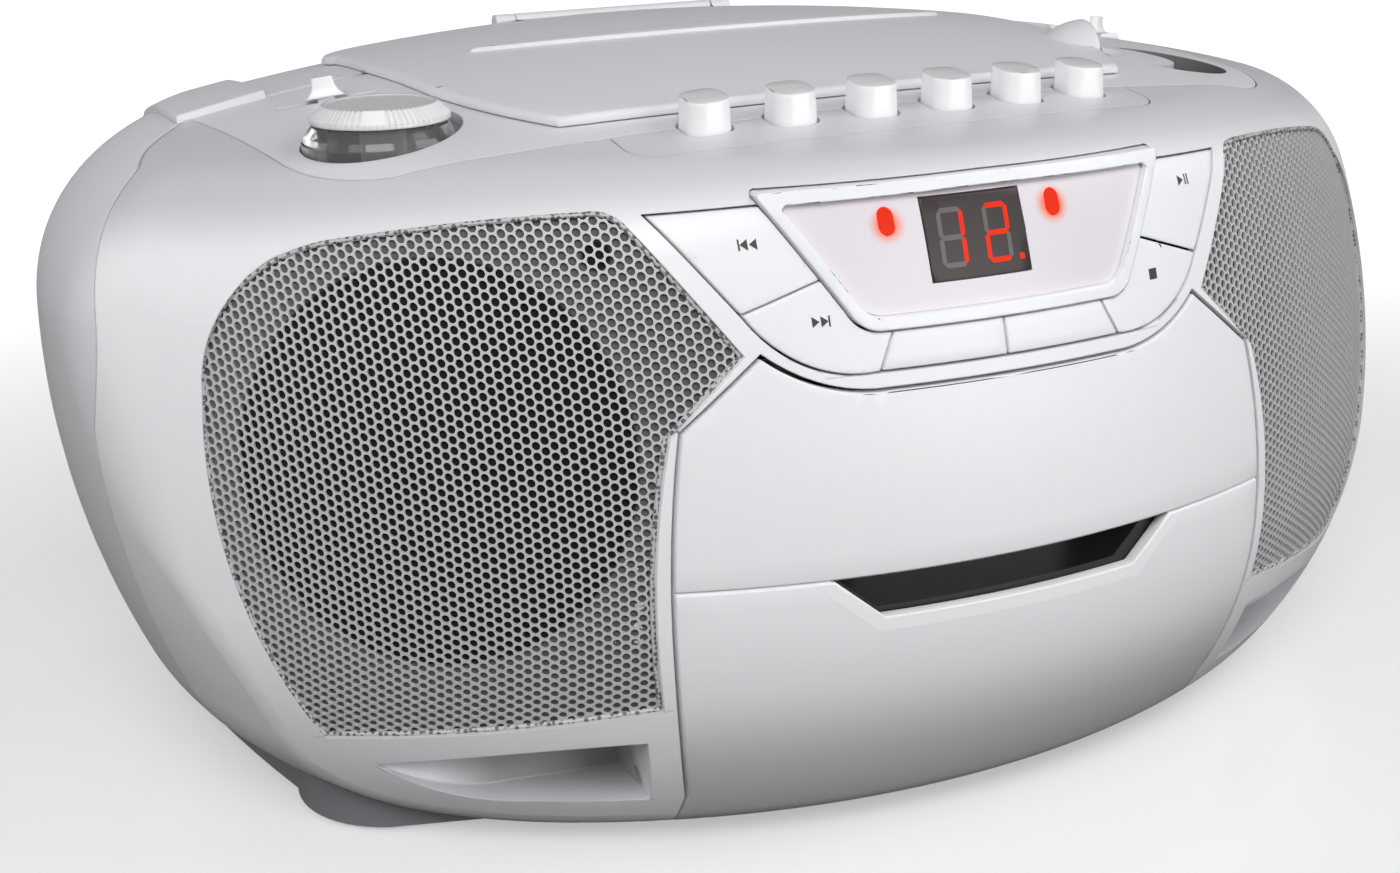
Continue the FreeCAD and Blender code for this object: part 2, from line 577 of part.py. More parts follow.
def make_front_shell():
    shell = SHELL.common(seam_side())
    # grille beds
    bed = S.grille_inset + S.grille_thick
    plate = skin("front", grille_outline(), bed, bed + S.wall, 2.5).common(OUTER)
    shell = shell.fuse([plate, flip(plate)])
    # scoops under the grilles: shallow at the tip, deep beside the door
    steps = vent_outline()
    inner, tip = steps[0][0], steps[2][2]
    deep = front_y(inner, steps[0][1]) + S.vent_deep
    for grow, solid in ((S.wall, True), (0, False)):
        spots = [(inner - 6, -150), (tip + 9, -150), (tip + 9, front_y(tip, steps[2][3]) + 3 + grow),
                 (inner - 6, deep + grow)]
        slope = outline("top", spots)
        slope.translate(Z * -10)
        scoop = prism("front", steps, -150, 0, grow).common(slope.extrude(Z * 80)).common(OUTER)
        scoop = scoop.fuse(flip(scoop))
        shell = shell.fuse(scoop) if solid else shell.cut(scoop)
    # frame round the door opening, with the bores of the door's hinge
    rib = skin("front", door_outline(), 0, S.frame_deep, S.door_gap + S.frame_rib).common(OUTER)
    rib = rib.common(box((-200, -150, S.door_kink_z - 8), (200, 50, S.door_shoulder_z)))
    ear = box((S.door_kink_half + S.door_gap, S.door_axis_y - 7, S.door_axis_z - 7),
              (S.door_kink_half + S.door_gap + S.frame_rib, S.door_axis_y + 7, S.door_axis_z + 7))
    shell = shell.fuse([rib, ear.common(OUTER), flip(ear).common(OUTER)])
    opening = prism("front", door_outline(), -150, S.door_swing_y, S.door_gap)
    shell = shell.cut(opening)
    bore = round_bar(S.door_pin + S.running, (-90, S.door_axis_y, S.door_axis_z),
                     (90, S.door_axis_y, S.door_axis_z))
    shell = shell.cut(bore)
    # openings for the button cluster and the display
    shell = shell.cut(prism("front", cluster_outline(), -150, -20, S.button_gap))
    shell = shell.cut(prism("front", screen_outline(), -150, -20, S.panel_gap))
    recess = prism("front", grille_outline(), -150, -20, S.panel_gap).cut(front_barrel(bed))
    shell = shell.cut(recess).cut(flip(recess))
    hole = speaker_bore(S.speaker_hole, 60).common(box((0, -150, 0), (200, 0, 200)))
    shell = shell.cut(hole).cut(flip(hole))
    # top openings
    shell = shell.cut(prism("top", deck_outline(), 125, 180, S.panel_gap))
    shell = shell.cut(prism("top", strip_outline(), 125, 180, S.panel_gap))
    shell = shell.cut(screw_bores((S.post_front_y,))).fuse(posts((S.post_front_y,)))
    return largest(shell)


def largest(shape):
    """The main solid, without the crumbs that a cut can leave."""
    return max(shape.Solids, key=lambda solid: solid.Volume)


def post_spots(rows):
    return [(side * S.post_x, y) for side in (-1, 1) for y in rows]


def posts(rows):
    """Screw posts that stand on the shell's floor and carry the main board."""
    floor, bore = S.shell_bottom + S.wall / 2, S.screw_radius + S.running
    made = []
    for x, y in post_spots(rows):
        post = Part.makeCylinder(S.post_radius, S.main_board_z - floor, V(x, y, floor))
        made.append(post.cut(Part.makeCylinder(bore, S.screw_long, V(x, y, floor - 1))))
    return made


def screw_bores(rows):
    return [Part.makeCylinder(S.screw_radius + S.running, S.wall + 2, V(x, y, S.shell_bottom - 1))
            for x, y in post_spots(rows)]


def aerial_room(grow):
    """The groove across the back that the aerial folds into, open at its left-hand end."""
    half = S.aerial_radius + S.aerial_room + grow
    return box((-S.half_width - 5, S.aerial_y - half, S.aerial_z - half),
               (S.aerial_x + half + 1, S.half_depth + 20, S.aerial_z + half))


def battery_room(grow, back=0):
    half = S.battery_half + grow
    return box((-half, S.battery_front - grow, S.battery_low_z - grow),
               (half, S.half_depth + back, S.battery_high_z + grow))


def cover_outline():
    """The battery cover, seen from the back."""
    half, lip = S.battery_half + S.cover_lip, S.cover_lip
    return both([(0, S.battery_low_z - lip), (half, S.battery_low_z - lip),
                 (half, S.battery_high_z + lip), (0, S.battery_high_z + lip)])


def hinge_bar(radius, start, end):
    y = S.lid_rear + S.hinge_back
    z = top_z(0, y) + S.lid_gap + S.lid_thick / 2
    return round_bar(radius, (start, y, z), (end, y, z))


def hinge_ear():
    """The right-hand ear that holds the lid's hinge pin, on a foot that meets the shell."""
    start, end = S.hinge_half + S.lid_gap, S.hinge_half + S.ear_long
    ear = hinge_bar(S.hinge_radius, start, end)
    low = ear.BoundBox
    foot = box((start, low.YMin, low.ZMin - 2), (end, low.YMax, low.Center.z))
    return ear.fuse(foot)


def well_opening():
    return Part.makeCylinder(S.well_radius, 60, V(0, S.disc_y, S.well_floor_z - 5))


def make_rear_shell():
    inside = OUTER.cut(seam_side(S.panel_gap))
    shell = SHELL.cut(seam_side(S.panel_gap))
    half, front = S.finger_half, S.grip_front
    fingers = box((-half, front, S.finger_low_z), (half, S.half_depth + 20, S.grip_low_z))
    finger_liner = box((-half - S.wall, front - S.wall, S.finger_low_z - S.wall),
                       (half + S.wall, S.half_depth + 20, S.grip_low_z))
    liners = handle_room(S.handle_gap + S.wall).fuse([aerial_room(S.wall), battery_room(S.wall, 20),
                                                      finger_liner])
    shell = shell.fuse(liners.common(inside))
    shell = shell.cut([handle_room(S.handle_gap), aerial_room(0), battery_room(0, 20), fingers])
    # bores of the handle's pins
    bore = S.pivot_radius + S.running
    ends = (S.arm_in - S.handle_gap - S.wall - 3, S.arm_in + 1)
    shell = shell.fuse(pair(round_bar(bore + S.wall, (ends[0], S.pivot_y, S.pivot_z),
                                      (S.arm_in - S.handle_gap, S.pivot_y, S.pivot_z))).common(inside))
    shell = shell.cut(pair(round_bar(bore, (ends[0] - 1, S.pivot_y, S.pivot_z),
                                     (ends[1], S.pivot_y, S.pivot_z))))
    # rebate for the battery cover
    rebate = prism("front", cover_outline(), S.half_depth - 30, S.half_depth + 20, S.panel_gap)
    shell = shell.cut(rebate.cut(rear_barrel(S.wall / 2)))
    # openings under the disc lid and round the deck
    shell = shell.cut([well_opening(), prism("top", deck_outline(), 125, 180, S.panel_gap)])
    # hinge of the lid: a groove for its knuckle, and an ear at each end
    shell = shell.cut(hinge_bar(S.hinge_radius + S.hinge_room, -S.hinge_half - 1, S.hinge_half + 1))
    shell = shell.fuse(pair(hinge_ear()))
    reach = S.hinge_half + S.ear_long - 1
    shell = shell.cut(hinge_bar(S.hinge_pin + S.running, -reach, reach))
    # bore of the aerial's pin, and the mains inlet
    half = S.aerial_radius + S.aerial_room + S.wall + 1
    pin = Part.makeCylinder(S.aerial_pin + S.running, 2 * half, V(S.aerial_x, S.aerial_y, S.aerial_z - half))
    wide, tall = S.inlet_wide / 2 + 0.2, S.inlet_tall / 2 + 0.2
    inlet = box((S.inlet_x - wide, 60, S.inlet_z - tall), (S.inlet_x + wide, 130, S.inlet_z + tall))
    rows = (S.post_back_y, S.post_mid_y)
    shell = shell.cut([pin, inlet] + screw_bores(rows)).fuse(posts(rows))
    return largest(shell)


def foot_spots():
    return [(side * S.foot_x, y) for side in (-1, 1) for y in (S.foot_front_y, S.foot_rear_y)]


def make_plinth():
    """A dark tray between the floor and the shells."""
    front, half, rear = S.plinth_front, S.plinth_front_half, S.plinth_rear_half
    steps = both([(0, front - 2), (half - 20, front - 1), (half + 17, front + 10),
                  (half + 27, front + 18, S.plinth_mid_half, -27),
                  (rear - 6, 14, rear, 61), (rear - 5, S.plinth_rear - 12, rear - 26, S.plinth_rear),
                  (0, S.plinth_rear)])
    tray = prism("top", steps, S.floor_lift, S.plinth_top)
    tray = tray.cut(prism("top", steps, S.floor_lift + S.plinth_floor, S.plinth_top + 1, -S.wall))
    lowered = OUTER.copy()
    lowered.translate(Z * -0.3)
    tray = tray.cut(lowered)
    tray = tray.cut([Part.makeCylinder(S.foot_radius + 0.2, S.foot_height, V(x, y, 0))
                     for x, y in foot_spots()])
    rows = (S.post_back_y, S.post_mid_y, S.post_front_y)
    tray = tray.cut([Part.makeCylinder(S.screw_head + 0.2, 4, V(x, y, 0)) for x, y in post_spots(rows)])
    return largest(tray)


def slot(x, y, turn, high=200, low=125):
    """A round-ended slot through the deck, turned about its own middle."""
    half, radius = (S.slot_long - S.slot_wide) / 2, S.slot_wide / 2
    bar = box((-half, -radius, low), (half, radius, high))
    bar = bar.fuse([Part.makeCylinder(radius, high - low, V(end, 0, low)) for end in (-half, half)])
    return turned_to(bar, x, y, turn)


def turned_to(shape, x, y, turn, lift=0):
    """The shape turned about Z and carried to a place."""
    shape.rotate(V(), Z, turn)
    shape.translate(V(x, y, lift))
    return shape


def slider_place(side):
    return [getattr(S, side + "_slider_" + key) for key in ("x", "y", "turn")]


def lean_along_slot(shape, side):
    """The shape tilted to lie along its slot, which follows the curved deck, and put in place."""
    x, y, turn = slider_place(side)
    aim = V(math.cos(math.radians(turn)), math.sin(math.radians(turn)), 0)
    rise = top_z(x + aim.x, y + aim.y) - top_z(x - aim.x, y - aim.y)
    shape.rotate(V(), Y, -math.degrees(math.atan(rise / 2)))
    return turned_to(shape, x, y, turn, top_z(x, y))


def cup(x, hole):
    """A dial's cup under the deck."""
    high = top_z(x, S.dial_y)
    low = high - S.dial_drop - S.cup_floor
    return Part.makeCylinder(hole + S.wall / 2, high - low, V(x, S.dial_y, low))


def make_deck():
    deck = SHELL.common(prism("top", deck_outline(), 125, 180))
    dials = ((S.left_dial_x, S.dial_hole), (S.right_dial_x, S.wheel_hole))
    deck = deck.fuse([cup(x, radius).common(OUTER) for x, radius in dials])
    for x, radius in dials:
        low = top_z(x, S.dial_y) - S.dial_drop
        hole = Part.makeCylinder(radius, 60, V(x, S.dial_y, low))
        if x > 0:
            roof = crown_barrel(S.wall)
            bite = Part.makeCylinder(S.bite_radius, 80, V(S.bite_x, S.bite_y, low))
            hole = hole.common(roof).fuse(hole.cut(bite))
        shaft = Part.makeCylinder(S.dial_shaft + S.running, 10, V(x, S.dial_y, low - 5))
        deck = deck.cut([hole, shaft])
    deck = deck.cut([slot(*slider_place(side)) for side in ("left", "right")])
    scoop = Part.makeSphere(S.scoop_radius, V(S.lid_side_x + 4, S.tab_y - 1, top_z(S.lid_side_x, S.tab_y)
                                              + S.scoop_radius - S.scoop_deep))
    deck = deck.cut([key_holes(), well_opening(), scoop, handle_room(S.handle_gap)])
    return largest(deck)


def make_key_panel():
    panel = SHELL.common(prism("top", strip_outline(), 125, 180))
    return largest(panel.cut([prism("top", deck_outline(), 125, 180, S.panel_gap), key_holes()]))


def make_key(n):
    """A rounded square cap that tapers upwards, on a stem."""
    x, y = key_spot(n)
    z = top_z(x, y)
    low, high = z - S.key_sunk, z + S.key_proud + 3
    wires = []
    for height in (low, high):
        half = S.key_base / 2 - (height - low) * math.tan(math.radians(S.key_taper))
        square = Part.makePlane(2 * half, 2 * half, V(x - half, y - half, height))
        wires.append(square.OuterWire)
    cap = Part.makeLoft(wires, True)
    upright = [e for e in cap.Edges if e.BoundBox.ZLength > 5]
    cap = cap.makeFillet(S.key_corner, upright).common(crown_barrel(-S.key_proud))
    stem = S.key_stem / 2
    return cap.fuse(box((x - stem, y - stem, S.key_stem_foot_z), (x + stem, y + stem, low + 1)))


# ---------------------------------------------------------------- front pieces
def make_grille():
    return largest(skin("front", grille_outline(), S.grille_inset, S.grille_inset + S.grille_thick))


def make_door():
    opening = prism("front", door_outline(), -150, S.door_back_y)
    body = OUTER.common(opening)
    door = body.cut(front_barrel(S.door_wall).common(INNER))
    # the pocket that holds the cassette behind the door
    near, wide = S.tape_half + S.tape_room, S.tape_half + S.tape_room + S.guide_wall
    shelf = S.tape_low_z - S.tape_room
    side = box((near, -130, S.tape_low_z + 3), (wide, S.tape_back_y, S.tape_high_z + 1))
    pocket = [side, flip(side), box((-wide, -130, shelf - S.guide_wall), (wide, S.tape_back_y, shelf))]
    # hinge ears with their pins
    ear_in, ear_out = S.chassis_half - 2, S.chassis_half + 2
    ear = round_bar(S.door_pin * 2, (ear_in, S.door_axis_y, S.door_axis_z),
                    (ear_out, S.door_axis_y, S.door_axis_z))
    ear = ear.fuse(box((ear_in, -130, S.door_axis_z - 4), (ear_out, S.door_axis_y, S.door_axis_z + 4)))
    door = door.fuse([wall.common(body) for wall in pocket] + [ear, flip(ear)])
    door = door.common(front_barrel(0))
    pin = round_bar(S.door_pin, (ear_out - 1, S.door_axis_y, S.door_axis_z),
                    (ear_out + 5, S.door_axis_y, S.door_axis_z))
    door = door.fuse(pair(pin))
    door = door.cut(prism("front", window_outline(), -150, -95))
    crease = box((-120, -150, S.window_top_z - S.crease_wide / 2),
                 (120, -50, S.window_top_z + S.crease_wide / 2))
    door = door.cut(crease.cut(front_barrel(S.crease_deep)))
    return largest(door)


def button_ring():
    ring = skin("front", cluster_outline(), 0, S.button_thick)
    return ring.cut(prism("front", screen_outline(), -150, -20, S.button_gap)).common(OUTER)


def button_cuts():
    """Thin slabs that part the ring into six buttons: two slanted pairs and one upright."""
    gap = S.button_gap
    upper = ((S.screen_low_half + 8, S.screen_low_z + 11.3), (S.cluster_elbow_x + 4, S.cluster_elbow_z - 1))
    lower = ((S.cluster_low_half - 4.6, S.cluster_low_z + 9.5), (S.cluster_low_half + 1, S.cluster_low_z - 2))
    cuts = [box((-gap / 2, -150, 90), (gap / 2, -20, 130))]
    for (x0, z0), (x1, z1) in (upper, lower):
        slab = box((0, -150, -gap / 2), (math.hypot(x1 - x0, z1 - z0), -20, gap / 2))
        slab.rotate(V(), Y, -math.degrees(math.atan2(z1 - z0, x1 - x0)))
        slab.translate(V(x0, 0, z0))
        cuts += [slab, flip(slab)]
    return cuts


BUTTONS = (("button_back", -1, 0), ("button_next", -1, 1), ("button_repeat", -1, 2),
           ("button_program", 1, 2), ("button_stop", 1, 1), ("button_play_pause", 1, 0))


def stem_spot(side, row):
    """Where a front button's stem and its switch stand, seen from the front."""
    low, high = S.cluster_low_z, S.cluster_top_z
    spots = ((S.cluster_elbow_x - 2, high - 8.5), (S.cluster_low_half + 12, low + 10.5), (13, low + 3.7))
    x, z = spots[row]
    return side * x, z


def make_buttons():
    """The six front buttons, each a plate with a stem that ends just short of its switch."""
    plates = button_ring().cut(button_cuts()).Solids
    made = {}
    for name, side, row in BUTTONS:
        x, z = stem_spot(side, row)
        front = front_y(x, z) + S.button_thick
        end = S.board_y - S.switch_height - S.button_travel - S.button_free
        plate = min(plates, key=lambda solid: solid.distToShape(Part.Vertex(V(x, front - 1, z)))[0])
        made[name] = plate.fuse(round_bar(S.stem_radius, (x, front - 0.5, z), (x, end, z)))
    return made


def make_display_frame():
    frame = skin("front", screen_outline(), -S.screen_proud, S.screen_depth)
    return frame.cut(prism("front", screen_outline(S.screen_rim), -150, -20))


def led_hole(side, grow, start, end):
    x, z, half = S.digit_x + side * S.led_spread, S.led_z, S.led_wide / 2
    rise = S.led_tall / 2 - half
    bar = box((x - half - grow, start, z - rise), (x + half + grow, end, z + rise))
    return bar.fuse([round_bar(half + grow, (x, start, z + up), (x, end, z + up)) for up in (-rise, rise)])


def digit_block(grow, start, end):
    wide, tall = S.digit_wide / 2 + grow, S.digit_tall / 2 + grow
    return box((S.digit_x - wide, start, S.digit_z - tall), (S.digit_x + wide, end, S.digit_z + tall))


def make_lens():
    lens = skin("front", screen_outline(S.screen_rim + 0.1), S.lens_sink, S.lens_sink + S.lens_thick)
    return lens.cut([digit_block(0.1, -150, -20)] + [led_hole(side, 0.1, -150, -20) for side in (-1, 1)])


def make_digits():
    return digit_block(0, -150, S.board_y).common(front_barrel(S.lens_sink / 2))


def make_leds():
    bars = [led_hole(side, 0, -150, S.board_y).common(front_barrel(S.lens_sink / 2)) for side in (-1, 1)]
    return Part.makeCompound(bars)


def make_front_board():
    """The board behind the display, with the six switches."""
    board = box((-S.board_half, S.board_y, S.chassis_high_z + S.chassis_thick),
                (S.board_half, S.board_y + S.board_thick, S.board_high_z))
    size = S.switch_size / 2
    for _, side, row in BUTTONS:
        x, z = stem_spot(side, row)
        z = max(z, S.chassis_high_z + S.chassis_thick + size)
        board = board.fuse(box((x - size, S.board_y - S.switch_height, z - size),
                               (x + size, S.board_y, z + size)))
    return board


# ---------------------------------------------------------------- tape deck
def tape_hole(radius, x, z, start, end):
    return round_bar(radius, (x, start, z), (x, end, z))


BRACKET_POSTS = ((-46, 34), (46, 34), (-46, 98), (46, 98))


def make_chassis():
    front, back = S.chassis_y, S.chassis_y + S.chassis_thick
    half, high = S.chassis_half, S.chassis_high_z
    plate = box((-half, front, S.chassis_low_z), (half, back, high))
    leg_back, guide_top = S.leg_y + S.leg_deep, S.key_frame_z + S.key_frame_thick
    flange = box((-half, front, high), (half, leg_back, high + S.chassis_thick))
    leg = box((half - 6, S.leg_y, S.shell_bottom + S.wall), (half, leg_back, guide_top))
    brace = box((half - 2, front, S.chassis_low_z + 6), (half, leg_back, high))
    guide = box((-half, S.key_frame_y - S.key_frame_half, S.key_frame_z),
                (half, S.key_frame_y + S.key_frame_half, guide_top))
    boss = tape_hole(S.capstan_radius + 1.6, S.capstan_x, S.capstan_z, front - 2, front)
    pins = [tape_hole(S.slide_pin, side * S.slide_pin_x, S.slide_pin_z, front - 5.5, front)
            for side in (-1, 1)]
    frame = plate.fuse([flange, leg, flip(leg), brace, flip(brace), guide, boss] + pins)
    stem = S.key_stem / 2 + S.running
    spots = [key_spot(n) for n in range(int(S.key_count))]
    holes = [box((x - stem, y - stem, S.key_frame_z - 1), (x + stem, y + stem, guide_top + 1))
             for x, y in spots]
    holes += [tape_hole(S.reel_shaft + S.running, side * S.reel_half, S.reel_z, front - 1, back + 1)
              for side in (-1, 1)]
    holes.append(tape_hole(S.capstan_radius + S.running, S.capstan_x, S.capstan_z, front - 3, back + 1))
    return frame.cut(holes)


def make_bracket():
    """The plate behind the flywheel: it holds the capstan's rear end and the motor."""
    front, back = S.carrier_y, S.carrier_y + S.carrier_thick
    plate = box((-S.bracket_half, front, S.bracket_low_z), (S.bracket_half, back, S.bracket_high_z))
    made = [tape_hole(2.5, x, z, S.chassis_y + S.chassis_thick, front) for x, z in BRACKET_POSTS]
    boss = tape_hole(S.capstan_radius + 1.6, S.capstan_x, S.capstan_z, front, back + 1.5)
    bracket = plate.fuse(made + [boss])
    return bracket.cut([tape_hole(S.capstan_radius + S.running, S.capstan_x, S.capstan_z,
                                  front - 1, back + 2),
                        tape_hole(S.motor_shaft + 1, S.motor_x, S.motor_z, front - 1, back + 1)])


def make_motor():
    start = S.carrier_y + S.carrier_thick
    can = tape_hole(S.motor_radius, S.motor_x, S.motor_z, start, start + S.motor_long)
    return can.cut(tape_hole(S.motor_shaft + S.running, S.motor_x, S.motor_z, start - 1, start + 9))


def make_belt():
    """A square belt round the flywheel's and the pulley's grooves."""
    spots = ((S.capstan_x, S.capstan_z, S.flywheel_radius - 1), (S.motor_x, S.motor_z, S.pulley_radius - 1))

    def loop(extra):
        (x0, z0, r0), (x1, z1, r1) = spots
        r0, r1 = r0 + extra, r1 + extra
        along = math.atan2(z1 - z0, x1 - x0)
        spread = math.acos((r0 - r1) / math.hypot(x1 - x0, z1 - z0))
        rim = []
        for angle, middle in ((along + spread, along + math.pi), (along - spread, along)):
            rim.append([V(x + r * math.cos(angle), 0, z + r * math.sin(angle))
                        for x, z, r in ((x0, z0, r0), (x1, z1, r1))])
        far = V(x0 - r0 * math.cos(along), 0, z0 - r0 * math.sin(along))
        near = V(x1 + r1 * math.cos(along), 0, z1 + r1 * math.sin(along))
        edges = [Part.makeLine(rim[0][0], rim[0][1]), Part.Arc(rim[0][1], near, rim[1][1]).toShape(),
                 Part.makeLine(rim[1][1], rim[1][0]), Part.Arc(rim[1][0], far, rim[0][0]).toShape()]
        return Part.Face(Part.Wire(edges))

    size = S.belt_size
    flat = loop(S.belt_room + size).cut(loop(S.belt_room))
    flat.translate(Y * (S.belt_y - size / 2))
    return flat.extrude(Y * size).Solids[0]


def make_bridge():
    """The plate that carries the heads up to the tape."""
    front, half = S.bridge_y, S.bridge_half
    low, high = S.bridge_low_z, S.bridge_high_z
    plate = box((-half, front, low), (half, front + S.bridge_thick, high))
    head = box((-6, front - 9, low - 1), (6, front, high - 1))
    eraser = box((-16, front - 7, low), (-9, front, high - 2))
    pin = tape_hole(S.roller_pin, S.capstan_x, S.roller_z, front - 8, front)
    bridge = plate.fuse([head, eraser, pin])
    room = S.slide_pin + S.running
    for side in (-1, 1):
        x = side * S.slide_pin_x
        bridge = bridge.cut(box((x - room, front - 1, S.slide_pin_z),
                                (x + room, front + 3, S.slide_pin_z + S.bridge_travel)))
        bridge = bridge.cut([tape_hole(room, x, S.slide_pin_z + up, front - 1, front + 3)
                             for up in (0, S.bridge_travel)])
    return bridge


# ---------------------------------------------------------------- disc side
def make_lid():
    lift, rise = S.lid_gap, S.lid_gap + S.lid_thick
    lid = skin("top", lid_outline(), -rise, -lift)
    top = [e for e in lid.Edges if all(abs(p.z - top_z(p.x, p.y, -rise)) < 0.02 for p in e.discretize(4))]
    lid = lid.makeChamfer(S.lid_chamfer, top)
    half, tip_y, front_mid = S.crescent_half, S.crescent_end_y, S.crescent_y
    crescent = skin("top", [(-half, tip_y), (0, front_mid, half, tip_y),
                            (0, front_mid + S.crescent_wide, -half, tip_y)],
                    -rise - S.crescent_high, -lift - 0.5)
    edge, middle = S.lid_side_x - 2, top_z(S.lid_side_x, S.tab_y) + rise
    radius = (S.tab_radius ** 2 + S.tab_high ** 2) / (2 * S.tab_high)
    dome = Part.makeSphere(radius, V(edge, S.tab_y, middle + S.tab_high - radius))
    dome = dome.common(prism("top", lid_outline(), middle - 1, middle + 20)).cut(crown_barrel(-lift))
    knuckle = hinge_bar(S.hinge_radius, -S.hinge_half, S.hinge_half)
    tongue = knuckle.BoundBox
    web = box((-S.hinge_half, S.lid_rear - 3, tongue.Center.z - S.lid_thick / 2 + 0.2),
              (S.hinge_half, tongue.Center.y, tongue.Center.z + S.lid_thick / 2 - 0.2))
    web = web.cut(crown_barrel(-lift))
    return largest(lid.fuse([crescent, dome, knuckle, web]).cut(hinge_bar(S.hinge_pin, -200, 200)))


def make_well():
    radius, wall = S.well_radius, S.well_wall
    low, floor = S.well_floor_z, S.well_floor
    well = Part.makeCylinder(radius + wall, 60, V(0, S.disc_y, low)).common(crown_barrel(S.wall))
    well = well.cut(Part.makeCylinder(radius, 60, V(0, S.disc_y, low + floor)))
    slit = box((-S.laser_slot, S.laser_slot_y, low - 1), (S.laser_slot, S.disc_y, low + floor + 1))
    return well.cut([Part.makeCylinder(S.hub_hole, 10, V(0, S.disc_y, low - 1)), slit])


def make_drive_frame():
    low, top = S.drive_plate_z, S.drive_plate_z + S.drive_plate
    frame = box((-S.drive_half, S.drive_front, low), (S.drive_half, S.drive_back, top))
    posts_at = [(side * (S.drive_half - 4), y) for side in (-1, 1) for y in (-20, S.drive_back - 6)]
    parts = [Part.makeCylinder(3, S.well_floor_z - low, V(x, y, low)) for x, y in posts_at]
    parts.append(Part.makeCylinder(S.spindle_motor, S.spindle_top_z - low, V(0, S.disc_y, low)))
    for side in (-1, 1):
        x = side * S.rail_half
        parts.append(round_bar(S.rail_radius, (x, S.drive_front, S.rail_z), (x, S.rail_back, S.rail_z)))
        for start, end in ((S.drive_front, S.drive_front + 3), (S.rail_back - 2, S.rail_back)):
            parts.append(box((x - 3, start, low), (x + 3, end, S.rail_z + 3)))
    frame = frame.fuse(parts)
    return frame.cut(Part.makeCylinder(S.hub_shaft + S.running, 20, V(0, S.disc_y, S.spindle_top_z - 6)))


def make_pickup():
    half, back = S.sled_half, S.sled_y + S.sled_long / 2
    sled = box((-half, back - S.sled_long, S.sled_low_z), (half, back, S.sled_high_z))
    sled = sled.fuse(Part.makeCylinder(S.lens_radius, S.lens_top_z - S.sled_high_z + 1,
                                       V(0, S.sled_y, S.sled_high_z - 1)))
    bore = S.rail_radius + S.running
    return sled.cut([round_bar(bore, (side * S.rail_half, -100, S.rail_z), (side * S.rail_half, 50, S.rail_z))
                     for side in (-1, 1)])


# ---------------------------------------------------------------- handle, cover, aerial
def make_handle():
    raised = OUTER.copy()
    raised.translate(Z * S.handle_proud)
    handle = raised.common(handle_room(0))
    pin = round_bar(S.pivot_radius, (S.arm_in - S.pivot_long, S.pivot_y, S.pivot_z),
                    (S.arm_in + 1, S.pivot_y, S.pivot_z))
    return largest(handle.fuse(pair(pin)))


def make_battery_cover():
    plate = OUTER.common(prism("front", cover_outline(), S.half_depth - 30, S.half_depth + 20))
    plate = plate.cut(rear_barrel(S.wall / 2))
    plug = battery_room(-S.panel_gap, 5).common(rear_barrel(S.wall / 2)).cut(rear_barrel(S.wall * 1.5))
    return largest(plate.fuse(plug))


def make_aerial():
    x, y, z = S.aerial_x, S.aerial_y, S.aerial_z
    tube = round_bar(S.aerial_radius, (x - S.aerial_long, y, z), (x, y, z))
    half = S.aerial_radius + S.aerial_room
    knuckle = Part.makeCylinder(S.aerial_knuckle, 2 * half - 0.6, V(x, y, z - half + 0.3))
    pin = Part.makeCylinder(S.aerial_pin, 2 * half + S.wall, V(x, y, z - half - S.wall / 2))
    bore = round_bar(S.aerial_rod + S.running, (x - S.aerial_long - 1, y, z), (x - 8, y, z))
    rod = round_bar(S.aerial_rod, (x - S.aerial_long - 1, y, z), (x - 10, y, z))
    tip = round_bar(S.aerial_radius, (x - S.aerial_long - 0.3 - S.tip_long, y, z),
                    (x - S.aerial_long - 0.3, y, z))
    return tube.fuse([knuckle, pin]).cut(bore), rod.fuse(tip)


def make_inlet():
    """The figure-of-eight mains socket at the back."""
    x, z = S.inlet_x, S.inlet_z
    wide, tall = S.inlet_wide / 2, S.inlet_tall / 2
    back = rear_y(x, z) - 1
    shell = box((x - wide, S.inlet_front, z - tall), (x + wide, back, z + tall))
    radius = tall / 2
    lobe = S.inlet_pitch / 2
    socket = [round_bar(radius, (x + side * lobe, back - S.inlet_deep, z), (x + side * lobe, back + 5, z))
              for side in (-1, 1)]
    pins = [round_bar(S.inlet_pin, (x + side * lobe, back - S.inlet_deep - 1, z),
                      (x + side * lobe, back - 2, z))
            for side in (-1, 1)]
    return shell.cut(socket).fuse(pins)


# ---------------------------------------------------------------- small turned and plain pieces
def grouped(name, *things):
    """Like pieces that share one node."""
    thing = doc.addObject("Part::Compound", name)
    thing.Links = list(things)
    return thing


def slider_knob(name, side):
    """A waisted knob on a tongue that passes through its slot."""
    wires = []
    for height, long, wide in ((0.9, 10, 4.4), (2.6, 6, 2.6), (S.slider_rise, 5, 2.2)):
        face = Part.makePlane(long, wide, V(-long / 2, -wide / 2, height))
        wires.append(face.OuterWire)
    knob = Part.makeLoft(wires, True)
    tongue = box((-2, -S.slot_wide / 2 + S.slider_room, -S.switch_tall),
                 (2, S.slot_wide / 2 - S.slider_room, 1))
    return shaped(name, lean_along_slot(knob.fuse(tongue), side))


def slide_switch(side):
    """The switch under a slider, hung under the deck."""
    half, wide, low = S.switch_long / 2, S.switch_wide / 2, S.switch_drop
    case = box((-half, -wide, -low - S.switch_tall), (half, wide, -low))
    room = S.slot_long / 2
    case = case.cut(box((-room, -S.slot_wide / 2, -low - S.switch_tall + 1.2), (room, S.slot_wide / 2, 0)))
    return shaped("switch_" + side, lean_along_slot(case, side))


